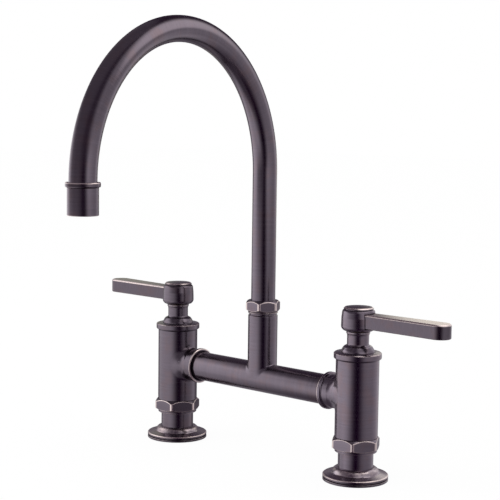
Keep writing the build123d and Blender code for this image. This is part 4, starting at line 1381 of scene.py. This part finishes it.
@dataclass(frozen=True)
class Spout:
    """The gooseneck: tube, end ring and sleeve, straight ahead along -Y before it is swung."""

    tube_r: float = 10.15
    wall: float = 1.5
    tube_foot: float = 131.25
    tube_end: float = 238.9
    arc_z: float = 241.65
    arc_r: float = 112.2
    swing: float = 7.3
    # painted shade: the spout's film is painted a little darker
    tone: float = 0.90
    ring_r: float = 12.6
    ring_bottom: float = 238.1
    ring_top: float = 241.7
    ring_bore_r: float = 8.0
    # painted shade: the end ring's film is painted darker still
    ring_painted_shade: float = 0.70
    tail_r: float = 10.0
    tail_foot: float = 226.1
    sleeve_r: float = 11.26
    sleeve_foot: float = 218.25
    lip_r: float = 9.2
    lip_top: float = 220.95

    def put(self, sheet: Sheet) -> Sheet:
        """Swings a sheet about Z to where the spout was left."""
        return sheet.placed(turn_about_z(self.swing))

    def tube(self) -> list[Sheet]:
        """The tube: turned along its length s, then bent: a ring at s stands on the centre line there.

        Returns:
            The closed sheet. Up to the arc the line is (0, 0, foot + s); on the arc it is
            (0, R cos b - R, top + R sin b) at the angle b = s / R; after half a turn it runs straight down.
        """
        rise, half_turn = self.arc_z - self.tube_foot, math.pi * self.arc_r
        length, inner = rise + half_turn + self.arc_z - self.tube_end, self.tube_r - self.wall
        sheet = turned(rounded([
            Corner(inner, 0.0, 0.1), Corner(self.tube_r, 0.0, 0.1), Corner(self.tube_r, length, 0.1),
            Corner(inner, length, 0.1),
        ], step=4.0), 96)
        s = sheet.points[..., 2]
        b = np.clip((s - rise) / self.arc_r, 0, math.pi)
        straight = np.where(s < rise, s - rise, np.where(s > rise + half_turn, rise + half_turn - s, 0.0))
        height = self.arc_z + self.arc_r * np.sin(b) + straight
        line = np.stack((0 * s, self.arc_r * (np.cos(b) - 1), height), axis=-1)
        ahead = np.stack((0 * s, -np.sin(b), np.cos(b)), axis=-1)
        beside = np.stack((0 * s, np.cos(b), np.sin(b)), axis=-1)
        across = np.array((1.0, 0.0, 0.0))
        points = line + sheet.points[..., :1] * across + sheet.points[..., 1:2] * beside
        normals = sheet.normals[..., :1] * across + sheet.normals[..., 1:2] * beside
        return [replace(sheet, points=points, normals=normals + sheet.normals[..., 2:] * ahead)]

    def at_outlet(self, sheet: Sheet) -> Sheet:
        """Moves a sheet from the Z axis to the outlet's axis."""
        return sheet.moved(y=-2 * self.arc_r)

    def end_ring(self) -> list[Sheet]:
        """The ring on the tube's end, undercut below, with its tail.

        Returns:
            Its one sheet.
        """
        ring, low, top = self.ring_r, self.ring_bottom, self.ring_top
        bore, socket, seat = self.ring_bore_r, self.tube_r + PART_GAP, self.tube_end
        return [self.at_outlet(turned(rounded([
            Corner(bore, self.tail_foot, 0.1), Corner(self.tail_r, self.tail_foot, 0.2),
            Corner(self.tail_r, low, 0.05), Corner(ring - 0.9, low, 0.2), Corner(ring - 0.3, low + 0.3, 0.15),
            Corner(ring, low + 0.8, 0.2), Corner(ring, top - 0.5, 0.3, 0.9),
            Corner(ring - 0.5, top, 0.3, 1.0), Corner(socket, top, 0.1), Corner(socket, seat, 0.05),
            Corner(bore, seat, 0.05),
        ]), 120))]

    def sleeve(self) -> list[Sheet]:
        """The plain sleeve with the lip that carries the insert.

        Returns:
            Its one sheet.
        """
        wide, bore = self.sleeve_r, self.tail_r + PART_GAP
        low, top = self.sleeve_foot, self.ring_bottom - PART_GAP
        return [self.at_outlet(turned(rounded([
            Corner(self.lip_r, low, 0.2), Corner(wide - 0.3, low, 0.2, 0.4),
            Corner(wide, low + 0.3, 0.25, 0.5), Corner(wide, top - 0.3, 0.2, 0.3),
            Corner(wide - 0.3, top, 0.2), Corner(bore, top, 0.05),
            Corner(bore, self.lip_top, 0.05), Corner(self.lip_r, self.lip_top, 0.1),
        ], step=4.0), 120))]

    def build(self, dresser: Dresser) -> None:
        """Builds and dresses the spout's pieces.

        Args:
            dresser: What finishes them and hangs them on the spout's body.
        """
        makers = {"spout_tube": self.tube, "spout_end_ring": self.end_ring, "aerator_sleeve": self.sleeve}
        for name, maker in makers.items():
            # painted shade of the spout's pieces, darkest on the end ring
            tone = self.ring_painted_shade if name == "spout_end_ring" else self.tone
            dresser.add(name, "spout", [self.put(sheet) for sheet in maker()], tone=tone)


# ---------------------------------------------------------------- inner pieces
# Moulded nitrile rubber is matt and nearly black; turned brass is warm, with sharp highlights; turned
# stainless steel is cool and bright; lapped alumina is white and nearly glossy; moulded acetal is milky.
INNER_FINISHES = {
    "rubber": Plain("black_rubber", "#26262a", 0.7, cloud=2.0, relief=0.02),
    "brass": Plain("machined_brass", "#c9a866", 0.28, metallic=1.0, cloud=3.0),
    "steel": Plain("stainless_steel", "#b9bbbe", 0.25, metallic=1.0, cloud=3.0),
    "ceramic": Plain("alumina_ceramic", "#ece9e2", 0.25, cloud=2.0, relief=0.003),
    "plastic": Plain("acetal_plastic", "#d9d9d6", 0.4, cloud=5.0, relief=0.005),
}
INNER_PIECES = {
    "flange_gasket": "rubber", "union_washer": "rubber", "seat_seal": "rubber", "stem_o_ring": "rubber",
    "bridge_o_rings": "rubber", "spout_o_rings": "rubber", "aerator_washer": "rubber",
    "cartridge_housing": "brass", "valve_stem": "brass", "spout_spigot": "brass",
    "handle_screw": "steel", "fixed_disc": "ceramic", "moving_disc": "ceramic",
    "thrust_washer": "plastic", "swivel_bush": "plastic", "aerator_insert": "plastic",
    "flow_regulator": "plastic", "aerator_screen": "plastic",
}


def finish_inner_pieces(materials: dict[str, bpy.types.Material]) -> None:
    """Gives every CAD node that stays its own material.

    Args:
        materials: The built inner materials, by name.
    """
    for name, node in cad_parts.items():
        base = name.removeprefix("left_").removeprefix("right_")
        if base not in INNER_PIECES:
            continue
        for slot in node.material_slots:
            slot.material = materials[INNER_PIECES[base]]
        log.info("%s: %s", name, INNER_PIECES[base])


# ---------------------------------------------------------------- the studio
@dataclass(frozen=True)
class Patch:
    """A round patch of the room that the metal reflects.

    Args:
        azimuth: The direction of its middle, in degrees from +X.
        elevation: The height of its middle, in degrees.
        inner: The radius within which it is full, in degrees.
        outer: The radius at which it ends.
        colour: Its linear colour.
    """

    azimuth: float
    elevation: float
    inner: float
    outer: float
    colour: tuple[float, float, float]

    def over(self, tree: bpy.types.NodeTree, way: Any, below: Any) -> Any:
        """Lays the patch over a colour.

        Args:
            tree: The dome's tree.
            way: The output that gives the direction.
            below: The output that gives the colour under the patch.

        Returns:
            The output that gives the colour with the patch on it.
        """
        turn, rise = math.radians(self.azimuth), math.radians(self.elevation)
        middle = (math.cos(rise) * math.cos(turn), math.cos(rise) * math.sin(turn), math.sin(rise))
        near = add_node(
            tree, "ShaderNodeVectorMath", {0: way, 1: middle}, operation="DOT_PRODUCT"
        ).outputs["Value"]
        share = add_node(
            tree, "ShaderNodeMapRange",
            {"Value": near, "From Min": math.cos(math.radians(self.outer)),
             "From Max": math.cos(math.radians(self.inner))},
            interpolation_type="SMOOTHSTEP",
        ).outputs["Result"]
        return add_node(
            tree, "ShaderNodeMix", {0: share, 6: below, 7: (*self.colour, 1.0)}, data_type="RGBA"
        ).outputs[2]


@dataclass(frozen=True)
class Studio:
    """A white deck in a room that is light at the left and the right and dark behind the camera.

    Only the metal sees the room, as a dome of light: the camera sees white all round.

    Args:
        radius: The radius of the dome, in metres.
        centre: Where its middle stands, in metres.
        azimuths: Where each ring's levels stand, in degrees from +X.
        rings: The height of each ring, as the sine of its elevation, and its levels of light.
        veil: What is added to each level, in red, green and blue.
        grey: The light that everything but the camera gets from all round, as a linear colour.
        patches: The patches of light on the dome.
        deck_half: Half the width of the deck, in metres.
        deck_glow: How brightly the deck glows to the camera.
        deck_white: The share of that glow; the rest is lit, which keeps a faint shadow.
        lamp_size: The lamp's width and height, in metres.
        lamp_power: Its power, in watts.
        lamp_place: Where it hangs, in metres.
        lamp_aim: What it points at, in metres.
        eye: Where the camera stands, in mm.
        heading: How far the camera is turned about Z, in degrees.
        tilt: How far it looks down.
        roll: How far it is rolled.
        picture_px: The width of the photograph, in pixels.
        focal_px: The camera's focal length, in pixels of that picture.
    """

    radius: float = 0.5
    centre: tuple[float, float, float] = (0.1, -0.05, 0.05)
    azimuths: tuple[float, ...] = (
        -180, -150, -130, -110, -95, -80, -65, -50, -40, -25, -10, 10, 40, 65, 90, 103, 116, 145, 170, 180,
    )
    rings: tuple[tuple[float, tuple[float, ...]], ...] = (
        (-0.80, (
            0.14, 0.14, 0.14, 0.14, 0.13, 0.10, 0.07, 0.02, 0.03, 0.05,
            0.08, 0.12, 0.18, 0.22, 0.20, 0.12, 0.12, 0.12, 0.12, 0.14,
        )),
        (-0.42, (
            0.56, 0.58, 0.80, 0.55, 0.38, 0.22, 0.06, 0.01, 0.02, 0.09,
            0.20, 0.28, 0.32, 0.36, 0.55, 0.30, 0.26, 0.32, 0.38, 0.56,
        )),
        (-0.12, (
            0.92, 0.88, 0.86, 0.82, 0.60, 0.27, 0.06, 0.00, 0.01, 0.12,
            0.30, 0.38, 0.40, 0.56, 0.76, 0.44, 0.13, 0.13, 0.20, 0.92,
        )),
        (0.14, (
            1.15, 1.04, 0.74, 0.46, 0.34, 0.18, 0.05, 0.00, 0.03, 0.25,
            0.52, 0.46, 0.40, 0.46, 0.68, 0.58, 0.24, 0.24, 0.40, 1.15,
        )),
        (0.38, (
            1.35, 1.10, 0.32, 0.20, 0.20, 0.14, 0.03, 0.07, 0.38, 0.86,
            0.76, 0.64, 0.52, 0.50, 0.92, 0.54, 0.08, 0.10, 0.24, 1.30,
        )),
        (0.72, (
            0.14, 0.15, 0.17, 0.17, 0.15, 0.08, 0.09, 0.24, 0.38, 0.44,
            0.42, 0.38, 0.34, 0.46, 0.88, 0.62, 0.08, 0.05, 0.04, 0.14,
        )),
    )
    veil: tuple[float, float, float] = (0.008, -0.014, 0.014)
    grey: tuple[float, float, float, float] = (0.75, 0.75, 0.75, 1.0)
    patches: tuple[Patch, ...] = (
        Patch(60, 66, 12, 28, (1.3, 1.25, 1.25)), Patch(113, 18, 3, 10, (1.05, 1.03, 0.93)),
        Patch(155, 13, 3, 8, (0.38, 0.38, 0.34)),
    )
    deck_half: float = 6.0
    deck_glow: float = 1.03
    deck_white: float = 0.92
    lamp_size: tuple[float, float] = (1.4, 1.0)
    lamp_power: float = 6.0
    lamp_place: tuple[float, float, float] = (-0.9, -1.0, 1.5)
    lamp_aim: tuple[float, float, float] = (0.0, -0.05, 0.15)
    eye: tuple[float, float, float] = (764.05, -853.06, 296.59)
    heading: float = 42.43
    tilt: float = 6.001
    roll: float = 0.747
    picture_px: float = 500.0
    focal_px: float = 1374.91

    def world(self) -> None:
        """Makes the world white to the camera and plain grey to the rest; the metal sees the dome instead."""
        world = bpy.data.worlds.new("studio")
        bpy.context.scene.world = world
        world.use_nodes = True
        world.cycles.sampling_method = "NONE"
        tree = world.node_tree
        path = add_node(tree, "ShaderNodeLightPath").outputs
        seen = add_node(
            tree, "ShaderNodeMath", {0: path["Is Camera Ray"], 1: path["Is Transmission Ray"]},
            operation="MAXIMUM",
        ).outputs["Value"]
        colour = add_node(tree, "ShaderNodeMix", {0: seen, 6: self.grey, 7: (1, 1, 1, 1)}, data_type="RGBA")
        tree.links.new(colour.outputs[2], tree.nodes["Background"].inputs["Color"])

    def dome(self) -> None:
        """Closes a dome round the faucet, which only the metal sees.

        Its points are (R cos e cos a, R cos e sin a, R sin e) from its centre. It glows at the levels of its
        rings, each of which runs by azimuth at its own height, with the patches over them. It stands near, so
        that the two legs reflect different parts of it, as they do in a room.
        """
        a = np.radians(np.linspace(-180, 180, 97))[None, :-1]
        e = np.radians(np.linspace(-90, 90, 49))[1:-1, None]
        points = np.stack((np.cos(e) * np.cos(a), np.cos(e) * np.sin(a), np.sin(e) + 0 * a), axis=-1)
        points = points.reshape(-1, 3)
        grid = np.arange(len(points)).reshape(len(e), -1)
        after = np.roll(grid, -1, axis=1)
        quads = np.stack((grid[:-1], grid[1:], after[1:], after[:-1]), axis=-1).reshape(-1, 4)
        foot, crown = len(points), len(points) + 1
        low = np.stack((np.full(grid.shape[1], foot), grid[0], after[0]), axis=-1)
        high = np.stack((np.full(grid.shape[1], crown), after[-1], grid[-1]), axis=-1)
        points = np.vstack((points, ((0, 0, -1), (0, 0, 1)))) * self.radius + self.centre
        mesh = bpy.data.meshes.new("dome")
        mesh.from_pydata(points.tolist(), [], quads.tolist() + low.tolist() + high.tolist())
        dome = bpy.data.objects.new("dome", mesh)
        bpy.context.scene.collection.objects.link(dome)
        material, tree, _ = new_material("room_light")
        place = add_node(tree, "ShaderNodeTexCoord").outputs["Object"]
        way = add_node(
            tree, "ShaderNodeVectorMath", {0: place, 1: self.centre}, operation="SUBTRACT"
        ).outputs["Vector"]
        way = add_node(tree, "ShaderNodeVectorMath", {0: way}, operation="NORMALIZE").outputs["Vector"]
        parts = add_node(tree, "ShaderNodeSeparateXYZ", {0: way}).outputs
        turn = add_node(
            tree, "ShaderNodeMath", {0: parts["Y"], 1: parts["X"]}, operation="ARCTAN2"
        ).outputs["Value"]
        share = add_node(
            tree, "ShaderNodeMapRange", {"Value": turn, "From Min": -math.pi, "From Max": math.pi}
        ).outputs["Result"]
        colour = self.ring(tree, share, self.rings[0][1])
        for (below, _), (above, levels) in zip(self.rings, self.rings[1:]):
            rise = add_node(
                tree, "ShaderNodeMapRange", {"Value": parts["Z"], "From Min": below, "From Max": above},
                interpolation_type="SMOOTHSTEP",
            ).outputs["Result"]
            ring = self.ring(tree, share, levels)
            colour = add_node(
                tree, "ShaderNodeMix", {0: rise, 6: colour, 7: ring}, data_type="RGBA"
            ).outputs[2]
        for patch in self.patches:
            colour = patch.over(tree, way, colour)
        glow = add_node(tree, "ShaderNodeEmission", {"Color": colour})
        tree.links.new(glow.outputs["Emission"], tree.nodes["Material Output"].inputs["Surface"])
        material.cycles.emission_sampling = "NONE"
        mesh.materials.append(material)
        dome.visible_camera = dome.visible_diffuse = dome.visible_transmission = dome.visible_shadow = False

    def ring(self, tree: bpy.types.NodeTree, share: Any, levels: Sequence[float]) -> Any:
        """Adds a ring of levels by azimuth.

        Args:
            tree: The dome's tree.
            share: The output that gives the azimuth, from 0 to 1 for -180 to 180 degrees.
            levels: One level for each of the azimuths.

        Returns:
            The output that gives the ring's colour, with the veil that tints its darks violet.
        """
        ramp = add_node(tree, "ShaderNodeValToRGB", {0: share})
        stops = ramp.color_ramp.elements
        for _ in range(len(levels) - 2):
            stops.new(0.5)
        for stop, azimuth in zip(stops, self.azimuths):
            stop.position = (azimuth + 180) / 360
        for stop, level in zip(stops, levels):
            stop.color = (*(max(level + tint, 0.0) for tint in self.veil), 1)
        return ramp.outputs["Color"]

    def floor(self) -> None:
        """Lays the white deck under the flanges; it keeps a faint shadow, and the metal doesn't see it."""
        mesh = bpy.data.meshes.new("deck")
        half = self.deck_half
        corners = [(-half, -half, 0), (half, -half, 0), (half, half, 0), (-half, half, 0)]
        mesh.from_pydata(corners, [], [(0, 1, 2, 3)])
        deck = bpy.data.objects.new("deck", mesh)
        bpy.context.scene.collection.objects.link(deck)
        material, tree, shader = new_material("white_deck")
        shader.inputs["Base Color"].default_value = (0.8, 0.8, 0.8, 1)
        shader.inputs["Roughness"].default_value = 0.9
        path = add_node(tree, "ShaderNodeLightPath").outputs
        glow = add_node(tree, "ShaderNodeEmission", {"Strength": self.deck_glow})
        share = add_node(
            tree, "ShaderNodeMath", {0: path["Is Camera Ray"], 1: self.deck_white}, operation="MULTIPLY"
        ).outputs["Value"]
        blend = {0: share, 1: shader.outputs["BSDF"], 2: glow.outputs["Emission"]}
        mix = add_node(tree, "ShaderNodeMixShader", blend)
        tree.links.new(mix.outputs["Shader"], tree.nodes["Material Output"].inputs["Surface"])
        mesh.materials.append(material)
        deck.visible_glossy = False

    def lamp(self) -> None:
        """Hangs one large soft lamp above the left of the faucet; the metal doesn't see it."""
        data = bpy.data.lights.new("soft_box", "AREA")
        data.shape = "RECTANGLE"
        data.size, data.size_y = self.lamp_size
        data.energy = self.lamp_power
        lamp = bpy.data.objects.new("soft_box", data)
        bpy.context.scene.collection.objects.link(lamp)
        lamp.location = self.lamp_place
        lamp.rotation_euler = (Vector(self.lamp_aim) - lamp.location).to_track_quat("-Z", "Y").to_euler()
        lamp.visible_glossy = False

    def camera(self) -> None:
        """Sets the camera where the photograph was taken from."""
        a, e, roll = (math.radians(v) for v in (self.heading, self.tilt, self.roll))
        forward = Vector((-math.sin(a) * math.cos(e), math.cos(a) * math.cos(e), -math.sin(e)))
        right = Vector((math.cos(a), math.sin(a), 0.0))
        up = right.cross(forward)
        cos, sin = math.cos(roll), math.sin(roll)
        right, up = cos * right + sin * up, cos * up - sin * right
        data = bpy.data.cameras.new("photograph")
        data.lens = self.focal_px / self.picture_px * data.sensor_width
        data.clip_end = 50.0
        camera = bpy.data.objects.new("photograph", data)
        bpy.context.scene.collection.objects.link(camera)
        axes = Matrix((right, up, -forward)).transposed().to_4x4()
        camera.matrix_world = Matrix.Translation(Vector(self.eye) * MM) @ axes
        bpy.context.scene.camera = camera

    def build(self) -> None:
        """Sets up the whole studio."""
        self.world()
        self.dome()
        self.floor()
        self.lamp()
        self.camera()
        bpy.context.scene.view_settings.view_transform = "Standard"


def main() -> None:
    """Builds the studio and the faucet's pieces in order."""
    logging.basicConfig(level=logging.INFO, format="%(name)s %(message)s")
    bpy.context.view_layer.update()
    Studio().build()
    log.info("studio ready")
    materials = {name: finish.material() for name, finish in INNER_FINISHES.items()}
    dresser = Dresser(OiledBronze().material(), materials["steel"])
    for side in Side:
        Leg(side).build(dresser)
        Handle(side).build(dresser)
    Bridge().build(dresser)
    Spout().build(dresser)
    finish_inner_pieces(materials)
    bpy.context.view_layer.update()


if __name__ == "__main__":
    main()
